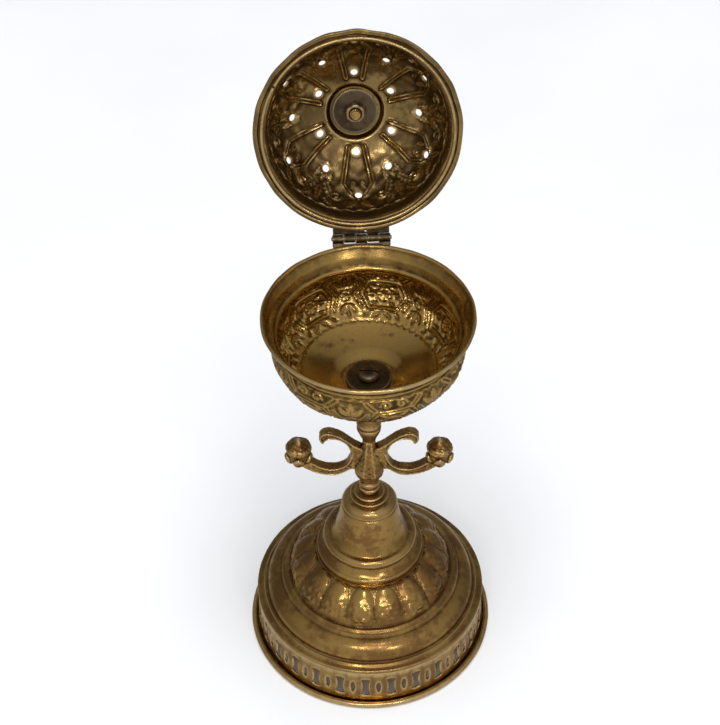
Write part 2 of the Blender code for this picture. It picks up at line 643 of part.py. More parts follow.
def main():
    clear_scene()
    parts = collection("standing_censer")
    cutters = collection("cutters")

    brass = metal("aged_brass", (0.42, 0.27, 0.09), 0.32)
    bright = metal("worn_brass", (0.55, 0.36, 0.12), 0.28)
    cast = metal("cast_brass", (0.36, 0.24, 0.09), 0.38)
    steel = metal("dark_steel", (0.14, 0.12, 0.10), 0.45)
    hinge = metal("hinge_brass", (0.24, 0.20, 0.12), 0.45)

    foot_axis = Vector((0.0, FOOT_AXIS_Y * MM, 0.0))
    pin_place = Vector((0.0, PIN_Y * MM, PIN_Z * MM))
    stand = empty("stand_axis", foot_axis, parts)
    pin_fixed = empty("hinge_place", foot_axis + pin_place, parts)
    swung = (-math.radians(LID_OPEN), 0.0, 0.0)
    pin_turning = empty("lid_hinge_axis", foot_axis + pin_place, parts, turn=swung)
    arms_turn = (0.0, 0.0, math.radians(KNOP_TURN))
    knop_axis = empty("knop_axis", (0.0, 0.0, 0.0), parts, stand, turn=arms_turn)
    lid_axis = empty("lid_axis", (0.0, -PIN_Y * MM, (LID_RIM_Z - PIN_Z) * MM), parts, pin_turning)

    foot_rim_ring(parts, stand, brass)
    foot_gallery(parts, cutters, stand, brass)
    foot_shell(parts, stand, brass)
    foot_cone(parts, stand, brass)
    foot_cap(parts, stand, brass)
    stem_base_disc(parts, stand, brass)
    tie_hardware(parts, stand, steel)
    stem_spool(parts, stand, cast)
    scroll_knop(parts, cutters, knop_axis, cast)
    stem_collar(parts, stand, cast)
    bowl_seat(parts, stand, cast)
    bowl_shell(parts, stand, bright)
    bowl_washer(parts, stand, steel)
    bowl_screw(parts, cutters, stand, steel)

    hinge_leaf_bowl(parts, cutters, pin_fixed, hinge)
    hinge_pin(parts, pin_fixed, hinge)
    hinge_leaf_lid(parts, cutters, pin_turning, hinge)

    lid_shell(parts, cutters, lid_axis, brass)
    lid_rim_wire(parts, lid_axis, brass)
    lid_hardware(parts, lid_axis, steel, bright)


main()
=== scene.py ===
"""Looks of a standing censer: a pierced brass foot, a cast scroll knop, an embossed
bowl and a hinged, pierced lid. Lengths are in millimetres until a mesh is made.
"""

import json
import math

import bmesh
import bpy
import numpy as np
from mathutils import Matrix, Vector


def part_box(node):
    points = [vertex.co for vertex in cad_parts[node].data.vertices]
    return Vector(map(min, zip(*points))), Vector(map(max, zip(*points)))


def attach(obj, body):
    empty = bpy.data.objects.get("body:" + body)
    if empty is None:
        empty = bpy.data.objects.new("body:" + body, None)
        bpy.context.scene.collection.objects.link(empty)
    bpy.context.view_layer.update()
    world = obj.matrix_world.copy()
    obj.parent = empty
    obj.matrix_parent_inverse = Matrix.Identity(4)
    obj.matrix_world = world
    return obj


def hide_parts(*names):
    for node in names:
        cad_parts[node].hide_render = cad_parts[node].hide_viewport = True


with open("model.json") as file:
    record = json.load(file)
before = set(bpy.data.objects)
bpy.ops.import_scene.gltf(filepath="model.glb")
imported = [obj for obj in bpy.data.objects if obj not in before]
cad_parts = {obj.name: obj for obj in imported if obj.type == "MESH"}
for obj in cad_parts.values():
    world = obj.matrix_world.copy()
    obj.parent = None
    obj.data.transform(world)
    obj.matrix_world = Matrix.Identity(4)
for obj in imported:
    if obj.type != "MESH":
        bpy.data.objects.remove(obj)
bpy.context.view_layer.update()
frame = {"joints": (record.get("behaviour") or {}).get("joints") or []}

MM = 0.001
TURN = 2.0 * math.pi

# Places, from the frame
rim_low, rim_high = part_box("foot_rim_ring")
AXIS = Vector(((rim_low.x + rim_high.x) / 2, (rim_low.y + rim_high.y) / 2, rim_low.z))
LID_HINGE = next(joint for joint in frame["joints"] if joint["name"] == "lid_hinge")
PIN = Vector(LID_HINGE["pos_m"])
LID_OPEN = math.radians(LID_HINGE["range_deg"][1])
STAND_PLACE = Matrix.Translation(AXIS)
PIN_PLACE = Matrix.Translation(PIN)
PIN_OPEN = PIN_PLACE @ Matrix.Rotation(-LID_OPEN, 4, 'X')
LID_FROM_PIN = Vector((0.0, -60.3, 0.7)) * MM        # the closed lid's rim centre
LID_PLACE = PIN_OPEN @ Matrix.Translation(LID_FROM_PIN)

# Sizes shared by several pieces, in millimetres
GAP = 0.3
SHEET = 1.2
PLATE = 1.5
THREAD = 3.0
BORE = THREAD + GAP
SPIGOT = 2.1
WASHER_RADIUS = 12.5
WASHER_THICK = 1.4
NUT_THICK = 5.0
BASE_RADIUS = 73.2
FLANGE_RADIUS = 68.4
GALLERY_TOP = 27.8
RIM_SHELF = 1.4
FOOT_TOP = 63.8
CONE_TOP = 102.6
CAP_TOP = 109.0
DISC_TOP = 111.2
KNOP_LOW, KNOP_TOP = 122.5, 155.6
COLLAR_TOP = 186.0
BOWL_FLOOR = 203.0
LIP_RADIUS, LIP_TOP = 57.0, 251.2
LID_RADIUS, LID_HEIGHT = 56.2, 40.2
HINGE_WIDTH, KNUCKLES, KNUCKLE_RADIUS, PIN_RADIUS = 32.0, 5, 2.3, 1.1


# ------------------------------------------------------------------ outlines

def arc(center, radius, start, end, count):
    """Points on an arc, angles in degrees."""
    angles = np.radians(np.linspace(start, end, count + 1))
    return [(center[0] + radius * math.cos(a), center[1] + radius * math.sin(a)) for a in angles]


def rounded(points, reach, turns=4, closed=False):
    """Outline whose corners are replaced by short curves that start within reach of them."""
    points = [Vector(p) for p in points]
    if closed:
        corners = [(points[i - 1], points[i], points[(i + 1) % len(points)]) for i in range(len(points))]
        made = []
    else:
        corners = list(zip(points, points[1:], points[2:]))
        made = [points[0]]
    for before, corner, after in corners:
        back, ahead = before - corner, after - corner
        span = min(reach, back.length / 2, ahead.length / 2)
        start, end = corner + back.normalized() * span, corner + ahead.normalized() * span
        for i in range(turns + 1):
            t = i / turns
            made.append(start * (1 - t) ** 2 + corner * (2 * t * (1 - t)) + end * t ** 2)
    if not closed:
        made.append(points[-1])
    clean = [made[0]]
    for point in made[1:]:
        if (point - clean[-1]).length > 0.005:
            clean.append(point)
    return [tuple(p) for p in clean]


def fine(points, step):
    """Outline with extra points, so that no span is longer than step."""
    made = [points[0]]
    for a, b in zip(points, points[1:]):
        count = max(1, math.ceil(math.dist(a, b) / step))
        made += [tuple(np.add(a, np.subtract(b, a) * i / count)) for i in range(1, count + 1)]
    return made


def soft(points, reach, step):
    """Outline with rounded corners and no long spans."""
    return fine(rounded(points, reach), step)


# ------------------------------------------------------------------ meshes

def new_object(name, data):
    """Object put in the scene."""
    obj = bpy.data.objects.new(name, data)
    bpy.context.scene.collection.objects.link(obj)
    return obj


def add_piece(name, points, faces, place):
    """Object from points in millimetres, moved to its place in the frame."""
    mesh = bpy.data.meshes.new(name)
    mesh.from_pydata((np.asarray(points, float) * MM).tolist(), [], faces)
    mesh.transform(place)
    return new_object(name, mesh)


def polar(radius, height, angle):
    """Points about Z."""
    return np.stack([radius * np.cos(angle), radius * np.sin(angle), height + 0 * angle], axis=-1)


def grid_faces(rows, columns, wrap_rows):
    """Quads of a grid that is closed round its columns."""
    faces = []
    for i in range(rows if wrap_rows else rows - 1):
        below = (i + 1) % rows
        for j in range(columns):
            k = (j + 1) % columns
            faces.append((i * columns + j, below * columns + j, below * columns + k, i * columns + k))
    return faces


def ring_faces(rings, count, start=0, capped=False):
    """Quads between rings of points, and if capped a face over each end."""
    faces = []
    for i in range(rings - 1):
        a, b = start + i * count, start + (i + 1) * count
        for j in range(count):
            k = (j + 1) % count
            faces.append((a + j, a + k, b + k, b + j))
    if capped:
        faces.append(tuple(range(count))[::-1])
        faces.append(tuple(range((rings - 1) * count, rings * count)))
    return faces


def mend(obj, work):
    """Change obj's mesh with work(bm), and turn its faces outward."""
    bm = bmesh.new()
    bm.from_mesh(obj.data)
    work(bm)
    bmesh.ops.recalc_face_normals(bm, faces=bm.faces)
    bm.to_mesh(obj.data)
    bm.free()


def drop_loose(bm):
    bmesh.ops.delete(bm, geom=[v for v in bm.verts if not v.link_faces], context='VERTS')


def steps_round(steps):
    """Angles of a turned piece's columns."""
    return np.arange(steps)[None, :] * TURN / steps


def turned(name, line, steps, place, push=None):
    """Closed turned piece. Its line runs down the outer side; it is a loop, or ends on the axis.
    push(radius, height, angle) moves the skin along its normal."""
    line = np.array(line, float)
    tangent = np.gradient(line, axis=0)
    tangent /= np.maximum(np.linalg.norm(tangent, axis=1, keepdims=True), 1e-9)
    radius, height = line[:, :1], line[:, 1:]
    angle = steps_round(steps)
    move = push(radius, height, angle) if push else np.zeros((len(line), steps))
    grid = polar(radius - tangent[:, 1:] * move, height + tangent[:, :1] * move, angle)
    rows = len(grid)
    if line[0][0] > 1e-6:
        return add_piece(name, grid.reshape(-1, 3), grid_faces(rows, steps, True), place)
    skin = grid[1:-1].reshape(-1, 3)
    points = np.vstack([skin, grid[0, :1], grid[-1, :1]])
    faces = grid_faces(rows - 2, steps, False)
    top, bottom, last = len(skin), len(skin) + 1, (rows - 3) * steps
    for j in range(steps):
        k = (j + 1) % steps
        faces.append((top, j, k))
        faces.append((bottom, last + k, last + j))
    return add_piece(name, points, faces, place)


def ripples(points, length, seed, waves=14):
    """Smooth random field of about unit height; length is its usual wavelength."""
    chance = np.random.default_rng(seed)
    total = np.zeros(points.shape[:-1])
    for _ in range(waves):
        direction = chance.normal(size=3)
        direction *= TURN / length * chance.uniform(0.6, 1.4) / np.linalg.norm(direction)
        total += np.sin(points @ direction + chance.uniform(0, TURN))
    return total / math.sqrt(waves)


def dents(depth, length, seed):
    """Push function: shallow dents all over a turned piece."""
    def push(radius, height, angle):
        return depth * ripples(polar(radius, height, angle), length, seed)
    return push


def thread(depth, low, high):
    """Push function: a thread of one millimetre pitch between two heights."""
    def push(radius, height, angle):
        return np.where((height < high) & (height > low), depth * np.cos(TURN * height - angle), 0.0)
    return push


def smoothstep(value, low, high):
    t = np.clip((value - low) / (high - low), 0.0, 1.0)
    return t * t * (3.0 - 2.0 * t)


def mesh_arrays(mesh):
    points = np.empty(len(mesh.vertices) * 3)
    mesh.vertices.foreach_get("co", points)
    edges = np.empty(len(mesh.edges) * 2, np.int64)
    mesh.edges.foreach_get("vertices", edges)
    return points.reshape(-1, 3), edges.reshape(-1, 2)


def vertex_normals(mesh):
    normals = np.empty(len(mesh.vertices) * 3)
    mesh.vertices.foreach_get("normal", normals)
    return normals.reshape(-1, 3)


def move_points(mesh, points):
    mesh.vertices.foreach_set("co", points.ravel())
    mesh.update()


def neighbour_mean(values, edges, weight, total):
    """Mean of each vertex's neighbours, nearer ones counting for more; one value or three."""
    a, b = edges.T
    columns = values.reshape(len(values), -1)
    mean = np.empty_like(columns)
    for c in range(columns.shape[1]):
        pull = np.bincount(a, columns[b, c] * weight, len(values))
        pull += np.bincount(b, columns[a, c] * weight, len(values))
        mean[:, c] = pull / total
    return mean.reshape(values.shape)


def add_wear(obj, edge_radius=0.6, broad=0.35):
    """Point attribute of wear: 0 deep in a hollow, 0.5 on a flat, 1 on a proud edge; it is lowered later in
    some zones, in the bowl's neck band under the lip as painted shadow.
    """
    mesh = obj.data
    points, edges = mesh_arrays(mesh)
    points = points / MM
    normals = vertex_normals(mesh)
    a, b = edges.T
    span = points[b] - points[a]
    square = np.maximum((span ** 2).sum(1), 1e-6)
    weight = 1.0 / np.sqrt(square)
    total = np.bincount(a, weight, len(points)) + np.bincount(b, weight, len(points))
    curve = np.bincount(a, weight * (span * normals[a]).sum(1) / square, len(points))
    curve -= np.bincount(b, weight * (span * normals[b]).sum(1) / square, len(points))
    curve /= total
    for _ in range(3):
        curve = (curve + neighbour_mean(curve, edges, weight, total)) / 2
    level = points.copy()
    for _ in range(24):
        level = (level + neighbour_mean(level, edges, weight, total)) / 2
    proud = ((points - level) * normals).sum(1)
    wear_and_shade = 0.5 - np.clip(curve * edge_radius, -1, 1) * 0.25 + np.clip(proud / broad, -1, 1) * 0.25
    layer = mesh.attributes.new("wear_and_shade", 'FLOAT', 'POINT')
    layer.data.foreach_set("value", np.clip(wear_and_shade, 0, 1).astype(np.float32))


def darken_zone(obj, place, amount, zone):
    """Darken a piece where zone(radius, height, outward) is true, seen from place's axis, by lowering its
    wear attribute; in the bowl's neck band under the lip this is painted shadow.
    """
    turn = np.array(place.to_3x3())
    points = mesh_arrays(obj.data)[0]
    local = (points - np.array(place.translation)) @ turn / MM
    normals = vertex_normals(obj.data) @ turn
    radius = np.hypot(local[:, 0], local[:, 1])
    outward = (normals[:, :2] * local[:, :2]).sum(1) / np.maximum(radius, 0.01)
    layer = obj.data.attributes["wear_and_shade"]
    wear_and_shade = np.empty(len(points), np.float32)
    layer.data.foreach_get("value", wear_and_shade)
    wear_and_shade -= amount * zone(radius, local[:, 2], outward)
    layer.data.foreach_set("value", np.clip(wear_and_shade, 0, 1))


def finish_piece(obj, body, node, slot, mat, sharp=38.0, edge_radius=0.6, broad=0.35):
    """Shade a piece, tie it to its body, hide the CAD node it stands for, and give it its finish."""
    mesh = obj.data
    mesh.shade_smooth()
    mesh.set_sharp_from_angle(angle=math.radians(sharp))
    mesh.materials.clear()
    mesh.materials.append(mat)
    add_wear(obj, edge_radius, broad)
    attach(obj, body)
    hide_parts(node)
    return obj


def spun(node, line, steps, mat, push=None, body="stand", place=STAND_PLACE, slot="aged_brass", **finish):
    """Turned and finished piece that stands for a CAD node."""
    obj = turned(node + "_fine", line, steps, place, push)
    return finish_piece(obj, body, node, slot, mat, **finish)


def evaluated(obj, name):
    """New object with the modifiers of obj applied; obj is removed."""
    bpy.context.view_layer.update()
    mesh = bpy.data.meshes.new_from_object(obj.evaluated_get(bpy.context.evaluated_depsgraph_get()))
    bpy.data.objects.remove(obj, do_unlink=True)
    return new_object(name, mesh)


def fused(name, shapes, voxel, smoothing):
    """One skin round several overlapping shapes, with soft inner corners."""
    bm = bmesh.new()
    for shape in shapes:
        bm.from_mesh(shape.data)
        bpy.data.objects.remove(shape, do_unlink=True)
    mesh = bpy.data.meshes.new(name)
    bm.to_mesh(mesh)
    bm.free()
    obj = new_object(name, mesh)
    remesh = obj.modifiers.new("skin", 'REMESH')
    remesh.mode = 'VOXEL'
    remesh.voxel_size = voxel * MM
    smooth = obj.modifiers.new("soften", 'SMOOTH')
    smooth.factor = 0.5
    smooth.iterations = smoothing
    return evaluated(obj, name)


def cut(obj, tools):
    """obj with each tool's shape taken out of it; the tools are removed."""
    name = obj.name
    for tool in tools:
        mod = obj.modifiers.new("cut", 'BOOLEAN')
        mod.object = tool
        mod.solver = 'EXACT'
    obj.name = name + "_uncut"
    made = evaluated(obj, name)
    for tool in tools:
        bpy.data.objects.remove(tool, do_unlink=True)
    return made


def rod(name, radius, low, high, place, sides=48):
    return turned(name, [(0.0, high), (radius, high), (radius, low), (0.0, low)], sides, place)


def extruded(name, outline, depth, edge, place):
    """Outline in (x, z) given a thickness along Y, with rounded front and back edges."""
    line = np.array(outline)
    after, before = np.roll(line, -1, 0), np.roll(line, 1, 0)
    tangent = after - before
    tangent /= np.linalg.norm(tangent, axis=1, keepdims=True)
    area = np.sum(line[:, 0] * after[:, 1] - after[:, 0] * line[:, 1])
    inward = np.stack([-tangent[:, 1], tangent[:, 0]], 1) * np.sign(area)
    layers = []
    for t in np.linspace(0, math.pi / 2, 4):
        layers.append((-depth / 2 + edge * (1 - math.sin(t)), edge * (1 - math.cos(t))))
    layers = layers[::-1] + [(-y, inset) for y, inset in layers]
    points = [(x, y, z) for y, inset in layers for x, z in line + inward * inset]
    obj = add_piece(name, points, ring_faces(len(layers), len(line), capped=True), place)
    mend(obj, lambda bm: bmesh.ops.triangulate(bm, faces=[f for f in bm.faces if len(f.verts) > 4]))
    return obj


# ------------------------------------------------------------------ materials

def add_node(tree, kind, inputs=(), **settings):
    """Node with its settings; each input is a socket to link to, or a value."""
    node = tree.nodes.new(kind)
    for key, value in settings.items():
        setattr(node, key, value)
    for key, value in dict(inputs).items():
        if isinstance(value, bpy.types.NodeSocket):
            tree.links.new(value, node.inputs[key])
        else:
            node.inputs[key].default_value = value
    return node


def noise(tree, coords, scale, detail, roughness=0.55, distortion=0.0):
    inputs = {"Vector": coords, "Scale": scale, "Detail": detail, "Roughness": roughness,
              "Distortion": distortion}
    return add_node(tree, 'ShaderNodeTexNoise', inputs).outputs["Fac"]


def remap(tree, value, low, high, to_low=0.0, to_high=1.0):
    inputs = {"Value": value, "From Min": low, "From Max": high, "To Min": to_low, "To Max": to_high}
    return add_node(tree, 'ShaderNodeMapRange', inputs, interpolation_type='SMOOTHSTEP').outputs["Result"]


def math_node(tree, operation, a, b, clamp=False):
    return add_node(tree, 'ShaderNodeMath', {0: a, 1: b}, operation=operation, use_clamp=clamp).outputs[0]


def blend_color(tree, factor, a, b):
    a, b = [(*color, 1.0) if isinstance(color, tuple) else color for color in (a, b)]
    return add_node(tree, 'ShaderNodeMix', {"Factor": factor, 6: a, 7: b}, data_type='RGBA').outputs[2]


BRIGHT = (0.48, 0.31, 0.10)
TARNISH = (0.29, 0.16, 0.058)
# Dark colour of dirt in hollows, also used as painted shadow under the bowl's lip.
DIRT_AND_SHADE = (0.035, 0.022, 0.010)
EDGE = (0.74, 0.55, 0.27)


def aged_metal(name, cover, rough, bump, pits=0.0, spun_lines=0.0, grime_and_shade=1.0, bright=BRIGHT,
               tarnish=TARNISH, dirt_and_shade=DIRT_AND_SHADE, edge=EDGE):
    """Metal with cloudy tarnish, dirt in its hollows, rubbed edges, pits and turning lines; the dirt colour
    also paints the shadow under the bowl's lip, where the wear attribute was lowered.
    """
    mat = bpy.data.materials.new(name)
    mat.use_nodes = True
    tree = mat.node_tree
    link = tree.links.new
    shader = tree.nodes["Principled BSDF"]
    shader.inputs["Metallic"].default_value = 1.0
    place = add_node(tree, 'ShaderNodeTexCoord').outputs["Object"]
    cloud = noise(tree, place, 38.0, 3.0, 0.5, 0.6)
    mottle = noise(tree, place, 230.0, 5.0, 0.62)
    grain = noise(tree, place, 1500.0, 3.0, 0.6)
    wear_and_shade = add_node(tree, 'ShaderNodeAttribute', attribute_name="wear_and_shade").outputs["Fac"]
    hollow = remap(tree, wear_and_shade, 0.48, 0.29)
    proud = remap(tree, wear_and_shade, 0.52, 0.75)

    def times(a, b, clamp=False):
        return math_node(tree, 'MULTIPLY', a, b, clamp)

    def plus(a, b, clamp=False):
        return math_node(tree, 'ADD', a, b, clamp)

    patch = remap(tree, plus(times(cloud, 0.6), times(mottle, 0.4)), 0.64 - 0.3 * cover, 0.76 - 0.3 * cover)
    patch = math_node(tree, 'SUBTRACT', patch, times(proud, 0.7), clamp=True)
    # Dark mask: dirt in hollows, and painted shadow where the wear attribute was lowered (the bowl's neck
    # band).
    soil_and_shade = times(times(hollow, remap(tree, mottle, 0.25, 0.6, 0.45, 1.0)), grime_and_shade, clamp=True)
    height = plus(times(mottle, 1.0), times(grain, 0.25))
    if pits:
        specks = remap(tree, noise(tree, place, 620.0, 2.0, 0.5), 0.66, 0.72, 0.0, pits)
        soil_and_shade = math_node(tree, 'MAXIMUM', soil_and_shade, specks)
        height = math_node(tree, 'SUBTRACT', height, times(specks, 0.35))
    rubbed = times(proud, remap(tree, mottle, 0.3, 0.6, 0.5, 1.0))

    color = blend_color(tree, patch, bright, tarnish)
    color = blend_color(tree, remap(tree, grain, 0.35, 0.75, 0.0, 0.3), color, tarnish)
    color = blend_color(tree, rubbed, color, edge)
    link(blend_color(tree, soil_and_shade, color, dirt_and_shade), shader.inputs["Base Color"])
    roughness = plus(remap(tree, patch, 0.0, 1.0, *rough), times(soil_and_shade, 0.25))
    link(plus(roughness, remap(tree, grain, 0.3, 0.7, -0.04, 0.06), clamp=True), shader.inputs["Roughness"])

    if spun_lines:
        shift = {"Vector": place, "Location": (-AXIS.x, -AXIS.y, 0.0)}
        centred = add_node(tree, 'ShaderNodeMapping', shift)
        parts = add_node(tree, 'ShaderNodeSeparateXYZ', {0: centred.outputs[0]}).outputs
        flat = add_node(tree, 'ShaderNodeCombineXYZ', {"X": parts["X"], "Y": parts["Y"]})
        away = add_node(tree, 'ShaderNodeVectorMath', {0: flat.outputs[0]}, operation='LENGTH')
        across = add_node(tree, 'ShaderNodeCombineXYZ', {"X": away.outputs["Value"], "Y": parts["Z"]})
        height = plus(height, times(noise(tree, across.outputs[0], 1400.0, 3.0, 0.7), spun_lines))
    relief = add_node(tree, 'ShaderNodeBump', {"Distance": bump * MM, "Height": height})
    link(relief.outputs["Normal"], shader.inputs["Normal"])
    return mat


# ------------------------------------------------------------------ foot

def rim_ring(mat):
    bead = 1.7
    inner = BASE_RADIUS - 7.2
    line = [(BASE_RADIUS - 4.6, RIM_SHELF), (BASE_RADIUS - 3.4, RIM_SHELF)]
    line += arc((BASE_RADIUS - bead, bead), bead, 150.0, -90.0, 16)
    under = [(BASE_RADIUS - 2.4, 0.0), (inner, 0.0), (inner, RIM_SHELF), (BASE_RADIUS - 4.7, RIM_SHELF)]
    spun("foot_rim_ring", fine(line + rounded(under, 0.3), 1.2), 288, mat, dents(0.05, 24.0, 3))


GALLERY_BAYS = 28
GALLERY_PHASE = math.radians(3.9)
GALLERY_SPREAD = 6                # rows of faces between a hole and its bay's edge


def hourglass_inside(x, z):
    """True inside an hourglass hole: bowed ends and drawn-in sides."""
    half_height = 7.1 + 0.3 * math.cos(min(abs(x) / 3.0, 1.0) * math.pi)
    half_width = 1.8 + 1.2 * min(abs(z) / 5.8, 1.0) ** 2.2
    corner = max(0.0, abs(z) - (half_height - 0.9)) / 0.9
    return abs(z) < half_height and abs(x) < half_width * math.sqrt(max(0.0, 1.0 - 0.45 * corner ** 2))


def oval_inside(x, z):
    return (x / 1.5) ** 2 + (z / 4.5) ** 2 < 1.0


def bay_border(half_width, half_height):
    """Directions round a bay: points on its rectangle, corners included."""
    side = [(half_width, t) for t in np.linspace(-half_height, half_height, 17)[:-1]]
    top = [(t, half_height) for t in np.linspace(half_width, -half_width, 7)[:-1]]
    quarter = side + top
    return quarter + [(-x, -z) for x, z in quarter]


def hole_border(border, inside):
    """Point of the hole's edge in the direction of each border point."""
    points = []
    for x, z in border:
        low, high = 0.0, 1.0
        for _ in range(18):
            middle = (low + high) / 2
            low, high = (middle, high) if inside(x * middle, z * middle) else (low, middle)
        points.append((x * low, z * low))
    return points


def gallery(mat):
    """Pierced strip: a frame of metal round each hole, bay by bay."""
    low, high = RIM_SHELF + GAP, GALLERY_TOP
    middle, half_height = (low + high) / 2, (high - low) / 2
    top_radius, flare, mean_radius, hole_middle = 67.7, 1.4, 68.4, 14.4
    pitch = TURN / (2 * GALLERY_BAYS)
    border = bay_border(pitch * mean_radius / 2, half_height)
    count = len(border)
    shapes = [hole_border(border, hourglass_inside), hole_border(border, oval_inside)]
    hole_lift = hole_middle - middle
    points, faces = [], []

    def ring(hole, step, depth, sign):
        """Ring between a hole's edge and its bay's border, dished near the hole."""
        t = (step / GALLERY_SPREAD) ** 1.6
        depth += 0.12 * math.exp(-step * 1.6) * sign
        mixed = [(hx * (1 - t) + x * t, hz * (1 - t) + z * t) for (x, z), (hx, hz) in zip(border, hole)]
        return [(x, z, depth) for x, z in mixed]

    def place_point(bay, x, z, depth):
        radius = top_radius + flare * (half_height - z) / (2 * half_height) - depth
        angle = GALLERY_PHASE + (bay + 0.5) * pitch + math.pi / 2 - x / mean_radius
        return (radius * math.cos(angle), radius * math.sin(angle), middle + z)

    for bay in range(2 * GALLERY_BAYS):
        hole = [(x, z + hole_lift) for x, z in shapes[bay % 2]]
        chain = [ring(hole, step, 0.0, 1) for step in range(GALLERY_SPREAD, -1, -1)]
        for t in (0.2, 0.4, 0.6, 0.8):
            chain.append([(x * 0.985, (z - hole_lift) * 0.985 + hole_lift, SHEET * t) for x, z in hole])
        chain += [ring(hole, step, SHEET, -1) for step in range(GALLERY_SPREAD + 1)]
        start = len(points)
        points += [place_point(bay, *point) for loop in chain for point in loop]
        faces += ring_faces(len(chain), count, start)
        last = start + (len(chain) - 1) * count
        for j in range(count):
            k = (j + 1) % count
            if abs(border[j][1]) == half_height and border[j][1] == border[k][1]:
                faces.append((start + k, start + j, last + j, last + k))
    obj = add_piece("foot_gallery_fine", points, faces, STAND_PLACE)
    mend(obj, lambda bm: bmesh.ops.remove_doubles(bm, verts=bm.verts, dist=0.00002))
    finish_piece(obj, "stand", "foot_gallery", "aged_brass", mat, sharp=50.0)


LOBES = 16
LOBE_FIRST = math.radians(11.5)     # first lobe's middle, right of the front
LOBE_TOP, LOBE_END = 32.5, 48.6     # radii where the lobes start and stop


def lobe_push(radius, height, angle):
    """Rounded lobes with arched tops, thin raised lines over the arches, and small dents."""
    chance = np.random.default_rng(11)
    along = (angle + math.pi / 2 - LOBE_FIRST) / TURN * LOBES
    index = np.round(along).astype(int) % LOBES
    size = chance.uniform(0.85, 1.15, LOBES)[index]
    lean = chance.uniform(-0.05, 0.05, LOBES)[index]
    t = (radius - LOBE_TOP) / (LOBE_END - LOBE_TOP)
    inner = np.clip(t, 0.0, 1.0)
    pitch = TURN * radius / LOBES
    offset = np.abs((along - np.round(along) + lean) * pitch)
    arch = np.sqrt(np.clip(1.0 - (1.0 - np.clip(t / 0.42, 0, 1)) ** 2, 0, 1))
    half = np.maximum(0.47 * pitch * arch, 0.05)
    inside = np.clip(1.0 - (offset / half) ** 2, 0, 1) ** 0.8
    end = smoothstep(1.0 - t, 0.0, 0.16)
    belly = 0.55 + 0.45 * np.sin(math.pi * inner ** 1.5)
    lobe = (2.1 * size * belly * inside - 0.6) * end * (arch > 0)
    line = 0.4 * ridge(offset - half - 0.4, 0.4) * smoothstep(t, -0.04, 0.05)
    line = line * (1 - smoothstep(t, 0.35, 0.7))
    points = polar(radius, height, angle)
    bumps = 0.22 * ripples(points, 4.0, 5) * smoothstep(t, 0.3, 0.8) * end + 0.05 * ripples(points, 20.0, 6)
    return np.where((t > -0.1) & (t < 1.02), lobe + line, 0.0) + bumps


def foot_shell(mat):
    top = [(27.0, FOOT_TOP), (32.0, FOOT_TOP), (34.4, 63.2), (38.5, 60.0), (43.0, 55.0), (46.2, 50.4),
           (48.2, 46.6)]
    ledge = [(48.9, 46.1), (49.7, 46.2), (50.7, 45.9), (51.6, 44.8), (52.8, 44.4)]
    cushion = arc((51.0, 31.2), 11.6, 76.0, 10.0, 24)
    step = [(62.5, 32.2), (63.5, 31.7), (64.5, 31.7), (65.2, 31.0), (66.0, 30.4)]
    edge = [(67.6, 30.3), (68.3, 30.0), (FLANGE_RADIUS + 0.1, 29.2), (68.2, 28.1)]
    inside = [(64.6, 28.1), (61.0, 30.4), (58.0, 38.4), (52.4, 43.2), (47.4, 44.4),
              (44.4, 50.4), (39.4, 57.0), (32.8, 62.4), (27.0, 62.4)]
    outside = soft(top, 2.4, 0.45) + soft(ledge, 0.8, 0.4)
    outside += fine(cushion, 1.0) + soft(step, 0.5, 0.5) + soft(edge, 0.6, 0.5)
    under = soft(inside, 1.6, 2.5)
    rows_under = len(under)
    line = outside + under

    def push(radius, height, angle):
        move = lobe_push(radius, height, angle)
        move[-rows_under:] = 0.0
        return move

    spun("foot_shell", line, 448, mat, push, edge_radius=0.5, broad=0.9)


def foot_cone(mat):
    base, under = FOOT_TOP + GAP, CONE_TOP - PLATE
    crown = [(BORE, CONE_TOP), (14.6, CONE_TOP), (16.2, 101.6), (16.7, 99.0)]
    flare = [(17.1, 96.5), (18.6, 89.0), (20.6, 82.6), (22.6, 79.2), (23.4, 78.5)]
    torus = arc((24.0, 75.0), 3.5, 76.0, -52.0, 14)
    ring = [(26.6, 71.7), (28.3, 69.4), (29.7, 68.0), (31.0, 67.5), (31.5, 66.2), (31.1, base)]
    inside = [(28.2, base), (27.8, 66.4), (23.2, 71.6), (21.8, 76.4), (19.3, 82.2), (17.3, 88.8),
              (15.7, 96.4), (14.9, under), (BORE, under)]
    line = soft(crown, 0.8, 1.0) + soft(flare, 4.0, 1.0) + torus
    line += soft(ring, 0.9, 0.6) + soft(inside, 1.5, 2.0)
    spun("foot_cone", line, 224, mat, dents(0.07, 11.0, 8), edge_radius=0.5, broad=0.9)


def foot_cap(mat):
    under = CONE_TOP + GAP
    line = [(BORE, CAP_TOP), (10.2, CAP_TOP), (12.6, 108.3), (14.6, 106.8), (15.8, 105.0), (16.2, 103.9),
            (15.9, under), (BORE, under)]
    spun("foot_cap", soft(line, 0.9, 0.8), 160, mat, dents(0.04, 9.0, 9))


def stem_base_disc(mat):
    low, high = CAP_TOP + GAP, DISC_TOP
    line = [(BORE, high), (10.0, high), (11.0, high - 0.2), (11.3, high - 0.9), (11.1, low + 0.4),
            (10.6, low), (BORE, low)]
    spun("stem_base_disc", soft(line, 0.4, 0.8), 128, mat, dents(0.03, 7.0, 10))


# ------------------------------------------------------------------ hardware

def washer(node, radius, top, mat, seed, **where):
    low = top - WASHER_THICK
    line = [(BORE, top - 0.5), (BORE, top), (radius, top), (radius, low), (BORE, low), (BORE, top - 0.6)]
    push = dents(0.03, 6.0, seed)
    spun(node, soft(line, 0.28, 0.7), 96, mat, push, slot="dark_steel", edge_radius=0.4, **where)


